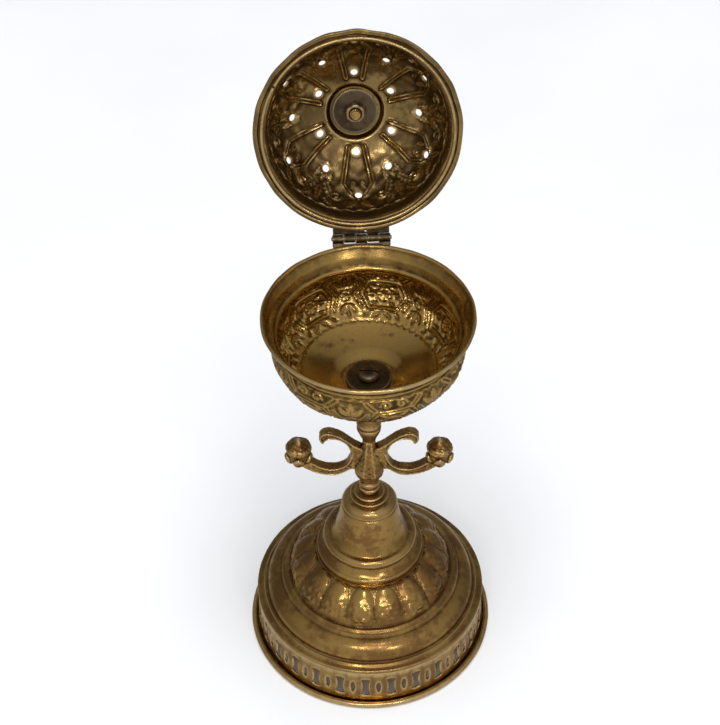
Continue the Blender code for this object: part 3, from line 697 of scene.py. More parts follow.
def hex_nut(node, top, body, place, mat):
    """Nut with chamfered corners and a threaded bore."""
    low, apothem, chamfer = top - NUT_THICK, 5.0, 0.62
    face_radius, slope, thread_depth = 4.75, 1.75, 0.12
    heights = np.linspace(0.0, chamfer, 4)
    upper = [(face_radius + h * slope, top - h) for h in heights]
    lower = [(face_radius + h * slope, low + h) for h in heights[::-1]]
    bore = [(BORE + 0.5, low), (BORE, low + 0.5), (BORE, top - 0.5), (BORE + 0.5, top)]
    line = np.array(upper + lower + fine(bore, 0.25))
    steps = 96
    angle = steps_round(steps)
    hexagon = apothem / np.cos((angle + math.pi / 6) % (math.pi / 3) - math.pi / 6)
    radius = np.minimum(line[:, :1], hexagon)
    height = line[:, 1:]
    in_bore = (line[:, :1] < BORE + 0.3)
    radius = radius + in_bore * thread_depth * np.cos(TURN * height - angle)
    points = polar(radius, height, angle).reshape(-1, 3)
    obj = add_piece(node + "_fine", points, grid_faces(len(line), steps, True), place)
    finish_piece(obj, body, node, "dark_steel", mat, sharp=30.0, edge_radius=0.4)


def bowl_screw(mat):
    """Pan-head screw with a slot; its shank goes down into the collar."""
    seat = BOWL_FLOOR + SHEET + GAP + WASHER_THICK + GAP
    top, end, slot_depth, slot_width = seat + 3.6, 176.0, 1.8, 1.4
    head = [(0.0, top), (3.4, top), (5.1, top - 0.7), (6.0, top - 2.0), (6.0, seat), (THREAD, seat)]
    shank = [(THREAD, seat - 1.0), (THREAD, end + 1.0), (THREAD - 0.6, end), (0.0, end)]
    line = soft(head, 0.9, 0.5) + fine(shank, 0.5)
    obj = turned("bowl_screw_fine", line, 72, STAND_PLACE, thread(0.1, end + 1.2, seat - 1.2))
    low, high = top - slot_depth, top + 2.0
    turn = Matrix.Rotation(math.radians(-8.0), 4, 'Z')
    slot_outline = [(-8.0, low), (8.0, low), (8.0, high), (-8.0, high)]
    obj = cut(obj, [extruded("slot", slot_outline, slot_width, 0.05, STAND_PLACE @ turn)])
    finish_piece(obj, "stand", "bowl_screw", "dark_steel", mat, sharp=30.0, edge_radius=0.4)


# ------------------------------------------------------------------ stem

def stem_spool(mat):
    shoulder, base = KNOP_LOW - GAP, DISC_TOP + GAP
    spigot = [(0.0, 133.5), (SPIGOT, 133.5), (SPIGOT, shoulder)]
    rings = [(4.4, shoulder), (5.6, 121.4), (5.9, 119.8), (5.1, 118.3), (3.8, 118.0), (4.0, 117.7),
             (5.4, 117.3), (5.9, 116.2), (5.3, 115.0), (3.9, 114.8), (3.9, 114.2), (4.6, 113.5),
             (8.3, 113.2), (9.0, 112.4), (8.6, base)]
    tail = [(THREAD, base), (THREAD, 88.6), (2.6, 88.0), (0.0, 88.0)]
    line = fine(spigot, 1.5) + soft(rings, 0.9, 0.35) + fine(tail, 1.0)
    spun("stem_spool", line, 128, mat, dents(0.05, 4.0, 12), slot="cast_brass")


def stem_collar(mat):
    foot = KNOP_TOP + GAP
    socket = [(0.0, 175.4), (BORE, 175.4), (BORE, COLLAR_TOP)]
    outside = [(6.2, COLLAR_TOP), (6.7, 185.0), (6.2, 183.9), (5.2, 182.8), (4.9, 178.0), (5.2, 173.6),
               (6.2, 171.9), (7.1, 170.6), (7.0, 169.0), (6.1, 168.3), (6.1, 167.7), (6.9, 167.0),
               (6.9, 165.4), (6.0, 162.4), (4.4, 158.4), (3.9, 157.0), (3.7, foot)]
    spigot = [(SPIGOT, foot), (SPIGOT, 149.0), (0.0, 149.0)]
    line = fine(socket, 1.5) + soft(outside, 1.0, 0.4) + fine(spigot, 1.5)
    spun("stem_collar", line, 128, mat, dents(0.05, 5.0, 13), slot="cast_brass")


def bowl_seat(mat):
    top, low = BOWL_FLOOR - GAP, COLLAR_TOP + GAP
    line = [(BORE, top), (12.8, top), (13.5, 202.2), (13.3, 201.2), (11.0, 198.6), (8.2, 194.4),
            (6.8, 190.2), (6.4, 187.2), (6.3, low), (BORE, low)]
    spun("bowl_seat", soft(line, 1.0, 0.8), 128, mat, dents(0.05, 7.0, 14), slot="cast_brass")


UPPER_ARM = [(2.0, 149.0), (8.0, 152.6), (12.4, 157.2), (17.0, 161.0), (22.0, 163.1), (26.2, 162.2),
             (28.4, 158.8), (27.0, 155.2), (25.4, 154.2), (24.6, 156.6), (22.8, 158.0), (18.4, 158.2),
             (14.4, 156.0), (11.6, 152.0), (10.2, 146.9), (2.0, 141.0)]
LOWER_ARM = [(2.0, 149.0), (10.0, 147.1), (10.7, 141.2), (13.6, 136.1), (18.0, 133.6), (23.0, 133.4),
             (28.0, 135.0), (32.6, 138.8), (37.0, 141.0), (41.0, 138.4), (36.0, 134.0), (30.4, 130.4),
             (23.6, 128.4), (17.6, 128.8), (13.2, 131.6), (9.6, 134.4), (2.0, 131.0)]
BUD_OUT = 39.8
KNOP_PLACE = STAND_PLACE @ Matrix.Rotation(math.radians(-3.6), 4, 'Z')
CENTRE = Matrix.Identity(4)


def bud_shapes(side):
    """Bud at an arm's end: a ribbed ball with a pointed top, in a cup of five petals."""
    place = Matrix.Translation((side * BUD_OUT * MM, 0.0, 0.0))
    ball = [(0.0, 157.4), (0.8, 155.6), (2.2, 153.6), (4.4, 152.0), (6.9, 150.4), (7.3, 148.6),
            (6.5, 146.4), (6.3, 143.4), (5.8, 141.0), (4.4, 138.8), (2.6, 137.4), (0.0, 137.0)]

    def ribs(radius, height, angle):
        return 0.35 * np.abs(np.cos(angle * 3 + 0.4)) * smoothstep(radius, 2.0, 5.0)

    shapes = [turned("bud", soft(ball, 0.8, 0.5), 60, place, ribs)]
    petal = rounded([(0.0, 4.2), (1.8, 3.2), (3.0, 0.8), (2.3, -2.0), (0.8, -4.2), (0.0, -5.0)], 1.0)
    for i in range(5):
        turn = Matrix.Rotation(TURN * (i - 0.25) / 5, 4, 'Z')
        lean = Matrix.Translation((6.2 * MM, 0.0, 142.0 * MM)) @ Matrix.Rotation(0.3, 4, 'Y')
        flat = Matrix.Diagonal((0.62, 1.2, 1.0, 1.0))
        shapes.append(turned("petal", petal, 20, place @ turn @ lean @ flat))
    return shapes


def path_distance(x, z, path, closed=False):
    """Distance from each point to a polyline."""
    best = np.full(np.shape(x), 1e9)
    ends = path[1:] + path[:1] if closed else path[1:]
    for (ax, az), (bx, bz) in zip(path, ends):
        dx, dz = bx - ax, bz - az
        t = np.clip(((x - ax) * dx + (z - az) * dz) / max(dx * dx + dz * dz, 1e-9), 0, 1)
        best = np.minimum(best, np.hypot(x - ax - t * dx, z - az - t * dz))
    return best


def scroll_knop(mat):
    """Faceted knop with four scroll arms and two buds, cast in one piece."""
    sides, width, voxel = 8, 6.4, 0.34
    upper_bore, lower_bore = 7.1, 11.5
    body = [(0.0, KNOP_TOP), (3.7, KNOP_TOP), (4.3, 151.0), (6.0, 143.4), (8.6, 135.0), (9.0, 131.8),
            (7.7, 127.6), (5.2, 123.8), (4.9, KNOP_LOW), (0.0, KNOP_LOW)]
    eighth = Matrix.Rotation(math.pi / sides, 4, 'Z')
    shapes = [turned("knop_body", body, sides, eighth)]
    arms = [rounded(arm, 3.0, closed=True) for arm in (UPPER_ARM, LOWER_ARM)]
    for side in (1, -1):
        for outline in arms:
            mirrored = [(side * x, z) for x, z in outline]
            shapes.append(extruded("arm", mirrored, width, 0.7, CENTRE))
        shapes += bud_shapes(side)
    knop = fused("scroll_knop_uncut", shapes, voxel, 3)
    groove_arm_faces(knop, arms, width)
    bores = [rod("bore", SPIGOT + GAP, KNOP_TOP - upper_bore, KNOP_TOP + 2.0, CENTRE, 24),
             rod("bore", SPIGOT + GAP, KNOP_LOW - 2.0, KNOP_LOW + lower_bore, CENTRE, 24)]
    knop = cut(knop, bores)
    knop.data.transform(KNOP_PLACE)
    knop.name = "scroll_knop_fine"
    finish_piece(knop, "stand", "scroll_knop", "cast_brass", mat, edge_radius=0.7, broad=0.3)


def groove_arm_faces(knop, outlines, width):
    """Sink a shallow channel along the arms' front and back faces, and pit the casting."""
    x, y, z = (mesh_arrays(knop.data)[0] / MM).T
    away = np.full(len(x), 1e9)
    for outline in outlines:
        inner = [p for p in outline if p[0] > 3.0]
        away = np.minimum(away, path_distance(np.abs(x), z, inner))
    face = smoothstep(np.abs(y), width / 2 - 1.0, width / 2 - 0.2)
    on_arm = smoothstep(np.abs(x), 9.0, 11.0) * (1.0 - smoothstep(np.abs(x), 31.0, 33.0))
    sink = 0.55 * smoothstep(away, 0.7, 1.3) * face * on_arm
    y = y - np.sign(y) * sink
    place = np.stack([x, y, z], 1)
    rough = 0.07 * ripples(place, 3.2, 21) + 0.05 * ripples(place, 1.4, 22)
    place += vertex_normals(knop.data) * rough[:, None]
    move_points(knop.data, place * MM)


# ------------------------------------------------------------------ embossed work

def ridge(distance, width):
    return np.exp(-(distance / width) ** 2)


def rosette(x, y, radius, petals):
    """Flower in a ring: a boss, a round of petals and a rim line."""
    away, angle = np.hypot(x, y), np.arctan2(y, x)
    petal = ridge(away - 0.52 * radius, 0.24 * radius) * (0.55 + 0.45 * np.cos(petals * angle))
    return 0.9 * ridge(away, 0.26 * radius) + 0.8 * petal + 0.8 * ridge(away - radius, 0.13 * radius)


def leaf(x, y, base, tip, width):
    """Lobed leaf with a vein down its middle."""
    dx, dy = tip[0] - base[0], tip[1] - base[1]
    length = math.hypot(dx, dy)
    along = ((x - base[0]) * dx + (y - base[1]) * dy) / length ** 2
    across = ((x - base[0]) * dy - (y - base[1]) * dx) / length
    inside = np.clip(along, 0.0, 1.0)
    half = width * np.sin(math.pi * inside ** 0.75) * (1.0 + 0.22 * np.cos(5 * TURN * inside)) + 0.02
    body = np.sqrt(np.clip(1.0 - (across / half) ** 2, 0.0, 1.0)) * (along > 0) * (along < 1)
    return body * (1.0 - 0.55 * ridge(across, 0.22 * width))


def scroll(x, y, center, radius, turns, width):
    """Spiral line that winds in to a small boss."""
    t = np.linspace(0.0, 1.0, 25)
    reach = radius * (1.0 - 0.78 * t)
    angle = turns * TURN * t
    xs, ys = center[0] + reach * np.cos(angle), center[1] + reach * np.sin(angle)
    away = path_distance(x, y, list(zip(xs.tolist(), ys.tolist())))
    return np.maximum(ridge(away, width), 0.8 * ridge(np.hypot(x - center[0], y - center[1]), 0.9 * width))


def strap(x, y, path, spread, width, closed=False):
    """Double line along a path."""
    return ridge(path_distance(x, y, path, closed) - spread / 2, width)


def leaves(x, y, shapes):
    """Several leaves, each a base, a tip and a width."""
    return np.max([leaf(x, y, *shape) for shape in shapes], axis=0)


def two_skins(parts, relief, normal, angle, depth, length, seed, lean):
    """Grid of a sheet whose line comes in parts: the first, outer skin, edge, inner skin, the rest.
    The relief moves both skins; dents of a depth and length cover all, leaning out and up."""
    line = np.vstack(parts)
    first_outer, first_inner = len(parts[0]), sum(len(part) for part in parts[:3])
    push = relief[..., None] * normal[:, None, :]
    shift = np.zeros((len(line), angle.size, 2))
    shift[first_outer:first_outer + len(push)] = push
    shift[first_inner:first_inner + len(push)] = push[::-1]
    radius, height = line[:, :1] + 0 * angle, line[:, 1:] + 0 * angle
    dent = depth * ripples(polar(radius, height, angle), length, seed)
    grid = polar(radius + lean[0] * dent + shift[..., 0], height + lean[1] * dent + shift[..., 1], angle)
    return grid, first_outer, first_inner


BOWL_BAYS = 7
BOWL_FIRST = math.radians(14.0)     # middle of the first strap, right of the hinge
BOWL_BELLY, BOWL_WIDEST = 51.2, 231.0
BAND_TOP, BAND_LENGTH = 238.2, 34.0


def bowl_relief(run, angle):
    """Height of the bowl's embossing: strapwork round rosettes, and leaves between."""
    bay, nominal = TURN / BOWL_BAYS, 46.0
    turn = math.pi / 2 - BOWL_FIRST - angle
    y = BAND_LENGTH / 2 - run + 0 * angle
    x = ((turn + bay / 2) % bay - bay / 2) * nominal + 0 * y
    other = (turn % bay - bay / 2) * nominal + 0 * y

    hexagon = [(-12.0, 0.0), (-8.0, 8.0), (8.0, 8.0), (12.0, 0.0), (8.0, -8.0), (-8.0, -8.0)]
    marks = [strap(x, y, hexagon, 2.3, 0.5, closed=True), rosette(x, y, 4.0, 7), rosette(other, y, 3.0, 5),
             leaves(other, y, [((0.0, 3.8), (0.0, 14.6), 2.3), ((0.0, -3.8), (0.0, -13.8), 2.1)])]
    for xs, others in ((x, other), (-x, -other)):
        marks += [scroll(xs, y, (3.8, 12.6), 2.7, 1.2, 0.55),
                  strap(xs, y, [(8.8, 9.2), (13.4, 14.6)], 2.0, 0.5),
                  strap(xs, y, [(12.4, 7.0), (16.2, 0.0), (12.4, -7.0)], 1.5, 0.42),
                  leaves(xs, y, [((4.8, 0.0), (9.8, 0.0), 2.0), ((3.0, 4.4), (7.4, 5.6), 1.2),
                                 ((3.0, -4.4), (7.4, -5.6), 1.2), ((0.8, -9.6), (6.8, -13.6), 1.8),
                                 ((8.0, -10.0), (12.6, -13.4), 1.5)]),
                  leaves(others, y, [((0.8, 4.6), (6.0, 11.0), 1.9), ((0.8, -4.6), (5.4, -11.0), 1.7)])]
    work = np.max(marks, axis=0)

    scallop = np.abs(np.sin(turn * BOWL_BAYS * 4)) * (0.7 + 0.5 * np.sin(turn * 3 + 1.0))
    work = np.maximum(work, 0.8 * ridge(y - 16.0 + 0.9 * scallop, 0.5))
    work = np.maximum(work, 0.55 * ridge(y + 14.8 + 1.1 * scallop, 0.6))
    boss = 0.7 * smoothstep(11.0 - np.abs(x) - 0.4 * np.abs(y), 0.0, 6.0)
    boss = boss * smoothstep(9.0 - np.abs(y), 0.0, 5.0)
    place = polar(nominal + 0 * y, y, angle)
    stipple = 0.08 * ripples(place, 3.0, 31, waves=20) * (1.0 - np.clip(work, 0, 1))
    field = smoothstep(BAND_LENGTH / 2 - np.abs(y), 0.0, 1.0)
    return (0.85 * work + 0.7 * boss + stipple) * field


def bowl_rows():
    """Outer points and outward normals down the bowl's elliptical body, and the length run."""
    rise = BOWL_WIDEST - BOWL_FLOOR
    t = np.linspace(math.asin((BAND_TOP - BOWL_WIDEST) / rise), -math.acos(19.0 / BOWL_BELLY), 800)
    path = np.stack([BOWL_BELLY * np.cos(t), BOWL_WIDEST + rise * np.sin(t)], axis=1)
    length = np.concatenate([[0.0], np.cumsum(np.linalg.norm(np.diff(path, axis=0), axis=1))])
    run = np.concatenate([np.arange(0.0, 35.5, 0.66), np.arange(35.8, length[-1], 1.8)])
    outer = np.stack([np.interp(run, length, path[:, 0]), np.interp(run, length, path[:, 1])], axis=1)
    normal = np.stack([outer[:, 0] / BOWL_BELLY ** 2, (outer[:, 1] - BOWL_WIDEST) / rise ** 2], axis=1)
    return outer, normal / np.linalg.norm(normal, axis=1, keepdims=True), run


def bowl_shell(mat):
    """Bowl: its embossing is pushed through the sheet, so it shows on both sides."""
    floor = BOWL_FLOOR + SHEET
    outer, normal, run = bowl_rows()
    inner = outer - normal * SHEET
    lip = arc((LIP_RADIUS - 1.1, LIP_TOP - 1.1), 1.1, 150.0, -80.0, 14)
    neck = [(54.7, 248.5), (55.2, 248.0), (55.25, 247.5), (54.8, 247.0), (53.2, 246.0), (51.5, 243.4),
            (50.5, 241.8), (51.1, 241.2), (51.3, 240.6), (50.9, 239.9), (49.8, 239.3), (49.5, 238.7)]
    under = [(18.0, 204.6), (14.6, BOWL_FLOOR), (BORE, BOWL_FLOOR), (BORE, floor), (14.4, floor),
             (17.0, 205.2)]
    flare = [(48.4, 238.5), (48.3, 239.3), (48.5, 240.1), (49.2, 240.9), (50.1, 241.5), (50.8, 243.0),
             (51.9, 245.4), (53.4, 247.7), (54.8, 249.8)]
    parts = [lip + soft(neck, 0.5, 0.7), outer, soft(under, 2.0, 2.0), inner[::-1], soft(flare, 0.7, 0.9)]
    angle = steps_round(368)
    relief = bowl_relief(run[:, None], angle)
    grid = two_skins(parts, relief, normal, angle, 0.1, 16.0, 32, (1.0, 0.3))[0]
    faces = grid_faces(*grid.shape[:2], True)
    obj = add_piece("bowl_shell_fine", grid.reshape(-1, 3), faces, STAND_PLACE)
    finish_piece(obj, "stand", "bowl_shell", "worn_brass", mat, edge_radius=0.6, broad=0.5)
    # The outside below the lip is darker.
    darken_zone(obj, STAND_PLACE, 0.16, lambda radius, height, out: (out > 0) & (height < 247.5))
    # Painted shadow: the neck band under the lip, outside, is darkened further.
    darken_zone(obj, STAND_PLACE, 0.12, lambda radius, height, out: (out > 0) & (abs(height - 243.7) < 2.4))
    # The inner flare near the lip is darker.
    darken_zone(obj, STAND_PLACE, 0.1, lambda radius, height, out: (out < 0) & (height > 239.0))


# ------------------------------------------------------------------ lid, made closed about its own axis

DOME_RADIUS, DOME_RISE, DOME_POWER = 49.3, 36.6, 2.5
DOME_START, DOME_END = 16.4, 48.9
HOLE_RADIUS = 2.0
HOLE_RINGS = ((22.6, 0.0), (34.5, 30.0), (43.3, 0.0))
HOLES_PER_RING = 6
PANELS = 6


def dome_point(radius):
    """Height of the dome's inner line at a radius, and its normal from upright."""
    height = DOME_RISE * (1.0 - (radius / DOME_RADIUS) ** DOME_POWER) ** (1.0 / DOME_POWER)
    outward = radius ** (DOME_POWER - 1.0) / DOME_RADIUS ** DOME_POWER
    upward = height ** (DOME_POWER - 1.0) / DOME_RISE ** DOME_POWER
    return height, math.atan2(outward, upward)


def dome_rows(step):
    """Inner points and normals down the dome at even spacing, and the length run."""
    radii = np.linspace(DOME_START, DOME_END, 600)
    heights = np.array([dome_point(r)[0] for r in radii])
    length = np.concatenate([[0.0], np.cumsum(np.hypot(np.diff(radii), np.diff(heights)))])
    stations = np.linspace(0.0, length[-1], int(length[-1] / step) + 1)
    inner = np.stack([np.interp(stations, length, radii), np.interp(stations, length, heights)], axis=1)
    slopes = np.array([dome_point(r)[1] for r in inner[:, 0]])
    return inner, np.stack([np.sin(slopes), np.cos(slopes)], axis=1), stations


def hole_places():
    """Middle of each smoke hole on the dome, and the dome's normal there."""
    for ring_radius, turn in HOLE_RINGS:
        height, slope = dome_point(ring_radius)
        for i in range(HOLES_PER_RING):
            angle = math.radians(turn) + TURN * (i + 0.5) / HOLES_PER_RING
            outward = Vector((math.cos(angle), math.sin(angle), 0.0))
            normal = outward * math.sin(slope) + Vector((0.0, 0.0, math.cos(slope)))
            yield outward * ring_radius + Vector((0.0, 0.0, height)), normal


def lid_relief(length, radius, angle):
    """Embossing of the lid, outward: six keystone panels framed by straps, and leaves between."""
    sector = TURN / PANELS
    wrapped = (angle + 0 * length) % sector - sector / 2
    other = (angle + sector / 2 + 0 * length) % sector - sector / 2
    x, xo, y = wrapped * radius, other * radius, length
    panel = [(-4.4, 4.0), (-8.4, 25.0), (-4.6, 31.0), (0.0, 33.5), (4.6, 31.0), (8.4, 25.0), (4.4, 4.0)]
    frame_line = strap(x, y, panel, 1.9, 0.62)
    marks = [leaves(xo, y, [((0.0, 15.0), (0.0, 27.0), 2.4), ((0.0, 28.0), (0.0, 42.0), 2.6)])]
    for xs, others in ((x, xo), (-x, -xo)):
        marks += [leaves(others, y, [((1.2, 17.0), (5.6, 27.0), 1.7), ((1.8, 25.0), (8.6, 36.0), 2.3),
                                     ((4.0, 35.0), (10.0, 43.0), 2.2)]),
                  leaves(xs, y, [((1.0, 35.0), (8.0, 41.5), 2.0), ((1.6, 22.0), (4.6, 28.0), 1.4)]),
                  scroll(others, y, (10.4, 33.6), 3.4, 1.3, 0.6)]
    greenery = np.max(marks, axis=0)
    scallop = 0.8 * ridge(y - 45.4 + 1.6 * np.abs(np.sin(angle * 21)), 0.55)
    pillow = (1.0 - np.clip(np.abs(x) / (3.2 + 0.2 * y), 0, 1) ** 4) * smoothstep(30.0 - y, 0.0, 6.0)
    points = polar(radius, y, angle)
    raised = np.maximum(np.maximum(frame_line, 0.9 * greenery), scallop)
    stipple = 0.3 * ripples(points, 8.0, 41, waves=20) * (1.0 - np.clip(raised, 0, 1))
    stipple = stipple * smoothstep(y, 8.0, 20.0)
    field = smoothstep(y, 0.6, 3.0) * smoothstep(48.0 - y, 0.0, 2.0)
    return (0.7 * pillow + stipple - 0.95 * raised) * field


def lid_shell(mat):
    """Domed lid with its smoke holes; the embossing shows on both sides."""
    inner, normal, stations = dome_rows(0.62)
    under_plate = LID_HEIGHT - PLATE
    apex = [(BORE, LID_HEIGHT), (14.2, LID_HEIGHT), (15.6, LID_HEIGHT - 0.7), (16.1, LID_HEIGHT - 1.8)]
    flange = [(50.2, 1.8), (50.7, 0.9), (51.8, 0.4), (LID_RADIUS - 1.4, 0.4)]
    bead = 0.85
    rolled = arc((LID_RADIUS - bead, -0.45), bead, 70.0, -100.0, 12)
    under = [(54.0, -1.2), (53.6, -0.9), (53.4, -0.5), (50.6, -0.5), (49.9, -0.2), (49.2, 1.2), (49.1, 2.6)]
    boss = [(15.8, under_plate - 2.6), (15.2, under_plate - 1.6), (14.2, under_plate - 0.2),
            (13.4, under_plate), (BORE, under_plate)]
    edge = soft(flange, 0.7, 0.8) + rolled + soft(under, 0.7, 0.7)
    parts = [soft(apex, 0.8, 1.6), inner + normal * SHEET, edge, inner[::-1], soft(boss, 0.8, 0.8)]
    angle = steps_round(392)
    relief = lid_relief(stations[:, None], inner[:, :1], angle)
    holes = list(hole_places())
    base = polar(inner[:, :1], inner[:, 1:], angle)
    near = np.full(relief.shape, 1e9)
    for middle, _ in holes:
        near = np.minimum(near, np.linalg.norm(base - np.array(middle), axis=-1))
    calm = smoothstep(near, HOLE_RADIUS + 0.4, HOLE_RADIUS + 2.2)
    relief = relief * calm + 0.1 * (1.0 - calm)
    grid, *starts = two_skins(parts, relief, normal, angle, 0.3, 15.0, 42, (0.6, 0.6))
    obj = add_piece("lid_shell_fine", *pierced(grid, *starts, near, holes), LID_PLACE)
    mend(obj, drop_loose)
    finish_piece(obj, "lid", "lid_shell", "aged_brass", mat, edge_radius=0.6, broad=0.4)
    # The lid is darker beyond a radius of 49.6 mm: its flange, bead and underside.
    darken_zone(obj, LID_PLACE, 0.13, lambda radius, height, out: radius > 49.6)


def pierced(grid, first_outer, first_inner, near, holes):
    """Points and faces of the lid's grid with its holes, and walls between its two skins."""
    (total, steps), rows = grid.shape[:2], len(near)
    points = grid.reshape(-1, 3).copy()
    gone = near < HOLE_RADIUS - 0.1
    open_cell = gone[:-1] | gone[1:]
    open_cell = open_cell | np.roll(open_cell, -1, axis=1)
    hidden = np.zeros((total, steps), bool)
    hidden[first_outer:first_outer + rows - 1] = open_cell
    hidden[first_inner:first_inner + rows - 1] = open_cell[::-1]

    def vertex(skin, i, j):
        row = first_outer + i if skin == 0 else first_inner + rows - 1 - i
        return row * steps + j % steps

    faces = [face for face, skip in zip(grid_faces(total, steps, True), hidden.ravel()) if not skip]
    border = set()
    for i, j in np.argwhere(open_cell).tolist():
        sides = (((i, j), (i, j + 1), (i - 1, j)), ((i + 1, j + 1), (i + 1, j), (i + 1, j)),
                 ((i, j + 1), (i + 1, j + 1), (i, j + 1)), ((i + 1, j), (i, j), (i, j - 1)))
        for start, end, beyond in sides:
            if open_cell[beyond[0], beyond[1] % steps]:
                continue
            border.update(((start[0], start[1] % steps), (end[0], end[1] % steps)))
            faces.append((vertex(0, *start), vertex(0, *end), vertex(1, *end), vertex(1, *start)))
    for i, j in border:
        for skin in (0, 1):
            index = vertex(skin, i, j)
            point = Vector(points[index])
            middle, normal = min(holes, key=lambda hole: (hole[0] - point).length)
            offset = point - middle
            lift = normal * offset.dot(normal)
            points[index] = middle + lift + (offset - lift).normalized() * HOLE_RADIUS
    return points, faces


def lid_rim_wire(mat):
    """Hoop of round wire under the flange, with rounded ends at its butt joint."""
    hoop, wire, joint_gap = 51.7, 0.92, 0.5
    drop = -0.5 - GAP - wire
    joint, half_gap, dome = math.radians(212.0), joint_gap / 2 / hoop, 0.4 / hoop
    sections = [(half_gap - dome * (1 - math.sin(t)) + dome, wire * math.sin(t))
                for t in np.linspace(0.15, math.pi / 2, 5)]
    middle = [(t, wire) for t in np.linspace(sections[-1][0], TURN - sections[-1][0], 360)[1:-1]]
    sections = sections + middle + [(TURN - offset, size) for offset, size in sections[::-1]]
    turn, size = np.array(sections).T[..., None]
    around = steps_round(16)
    points = polar(hoop + size * np.cos(around), drop + size * np.sin(around), joint + turn).reshape(-1, 3)
    faces = ring_faces(len(sections), around.size, capped=True)
    obj = add_piece("lid_rim_wire_fine", points, faces, LID_PLACE)
    mend(obj, drop_loose)
    finish_piece(obj, "lid", "lid_rim_wire", "aged_brass", mat)
    # The whole rim wire is darker.
    darken_zone(obj, LID_PLACE, 0.1, lambda radius, height, out: radius > 0)


def lid_finial(mat):
    """Turned finial whose threaded stud passes through the apex plate, washer and nut."""
    base, stud_end = LID_HEIGHT + GAP, 29.0
    top = base + 22.0
    knob = [(0.0, top), (1.1, top - 0.3), (1.6, top - 1.4), (1.2, top - 2.8), (1.6, top - 3.3),
            (3.6, top - 4.6), (5.7, top - 7.8), (6.0, top - 10.4), (5.0, top - 13.0), (2.9, top - 14.8),
            (2.9, top - 15.4), (4.6, top - 16.2), (4.6, top - 16.8), (3.3, top - 17.8), (4.4, base + 2.6),
            (7.9, base + 1.9), (8.4, base + 1.0), (8.0, base), (THREAD, base)]
    stud = [(THREAD, base - 0.6), (THREAD, stud_end + 0.6), (THREAD - 0.6, stud_end), (0.0, stud_end)]
    line = soft(knob, 1.0, 0.5) + fine(stud, 0.2)
    push = thread(0.13, stud_end + 0.5, base - 0.5)
    spun("lid_finial", line, 96, mat, push, "lid", LID_PLACE, "worn_brass")


# ------------------------------------------------------------------ hinge, made about its pin

def along_x(place):
    """Turned pieces stand along Z; this lays them along X."""
    return place @ Matrix.Rotation(math.pi / 2, 4, 'Y')


def sheet_bar(name, outline, half, place):
    """Outline in (y, z) run along X, with softened edges."""
    turn = Matrix(((0, 1, 0, 0), (1, 0, 0, 0), (0, 0, 1, 0), (0, 0, 0, 1)))
    return extruded(name, outline, 2 * half, 0.15, place @ turn)


def hinge_leaf(node, body, plate, tab, own, place, mat, seed, hole=None):
    """Leaf with its knuckles, fused as if soldered, and bored for the pin."""
    half, pitch = HINGE_WIDTH / 2 - 0.5, HINGE_WIDTH / KNUCKLES
    shapes = [sheet_bar("plate", plate, half, place)]
    for index in own:
        low = -HINGE_WIDTH / 2 + index * pitch + 0.07
        high = low + pitch - 0.14
        center = Matrix.Translation(((low + high) / 2 * MM, 0.0, 0.0))
        shapes.append(sheet_bar("tab", tab, (high - low) / 2, place @ center))
        roll = rounded([(0.0, high), (KNUCKLE_RADIUS, high), (KNUCKLE_RADIUS, low), (0.0, low)], 0.1)
        shapes.append(turned("knuckle", roll, 40, along_x(place)))
    name = node + "_fine"
    leaf_skin = fused(name + "_uncut", shapes, 0.2, 2)
    tools = [rod("bore", PIN_RADIUS + 0.15, -HINGE_WIDTH, HINGE_WIDTH, along_x(place), 24)]
    if hole:
        center = Matrix.Translation((hole[0] * MM, hole[1] * MM, 0.0))
        tools.append(rod("hole", 0.85, -3.0, 6.0, place @ center, 20))
    made = cut(leaf_skin, tools)
    made.name = name
    points = mesh_arrays(made.data)[0]
    rough = 0.03 * ripples(points / MM, 3.0, seed) + 0.015 * ripples(points / MM, 1.3, seed + 1)
    move_points(made.data, points + vertex_normals(made.data) * rough[:, None] * MM)
    finish_piece(made, body, node, "hinge_brass", mat, edge_radius=0.5, broad=0.25)


def hinge(mat):
    top, low = KNUCKLE_RADIUS, KNUCKLE_RADIUS - 0.75
    lid_plate = [(-8.2, low), (-1.85, low), (-1.85, top), (-8.2, top)]
    lid_tab = [(-3.4, low), (0.0, low), (0.0, top - 0.02), (-3.4, top)]
    bowl_plate = [(-9.2, -10.1), (-8.4, -10.9), (-3.3, -4.6), (-1.45, -2.25), (-1.95, -1.75), (-2.9, -2.9),
                  (-4.0, -3.6)]
    bowl_tab = [(-2.9, -3.4), (-2.0, -4.0), (0.2, -2.0), (-1.75, -1.4)]
    hinge_leaf("hinge_leaf_lid", "lid", lid_plate, lid_tab, (1, 3), PIN_OPEN, mat, 51, (2.4, -3.9))
    hinge_leaf("hinge_leaf_bowl", "stand", bowl_plate, bowl_tab, (0, 2, 4), PIN_PLACE, mat, 53)
    end = HINGE_WIDTH / 2 + 0.6
    line = [(0.0, end), (PIN_RADIUS, end), (PIN_RADIUS, -end), (0.0, -end)]
    spun("hinge_pin", soft(line, 0.4, 0.8), 40, mat, dents(0.03, 3.0, 55), place=along_x(PIN_PLACE),
         slot="hinge_brass", edge_radius=0.4)


# ------------------------------------------------------------------ room

FLOOR_RADIUS, FLOOR_DROP = 9.0, 0.0002      # metres; the drop keeps the floor off the foot
ROOM_FRONT = (0.05, -0.87, 0.49)            # toward the brightest part of the room
ROOM_TINT = (1.0, 0.95, 0.87)
WARM, COOL = (1.0, 0.95, 0.86), (0.9, 0.97, 1.1)
LIGHT_TARGET = 160.0                        # height the lights face


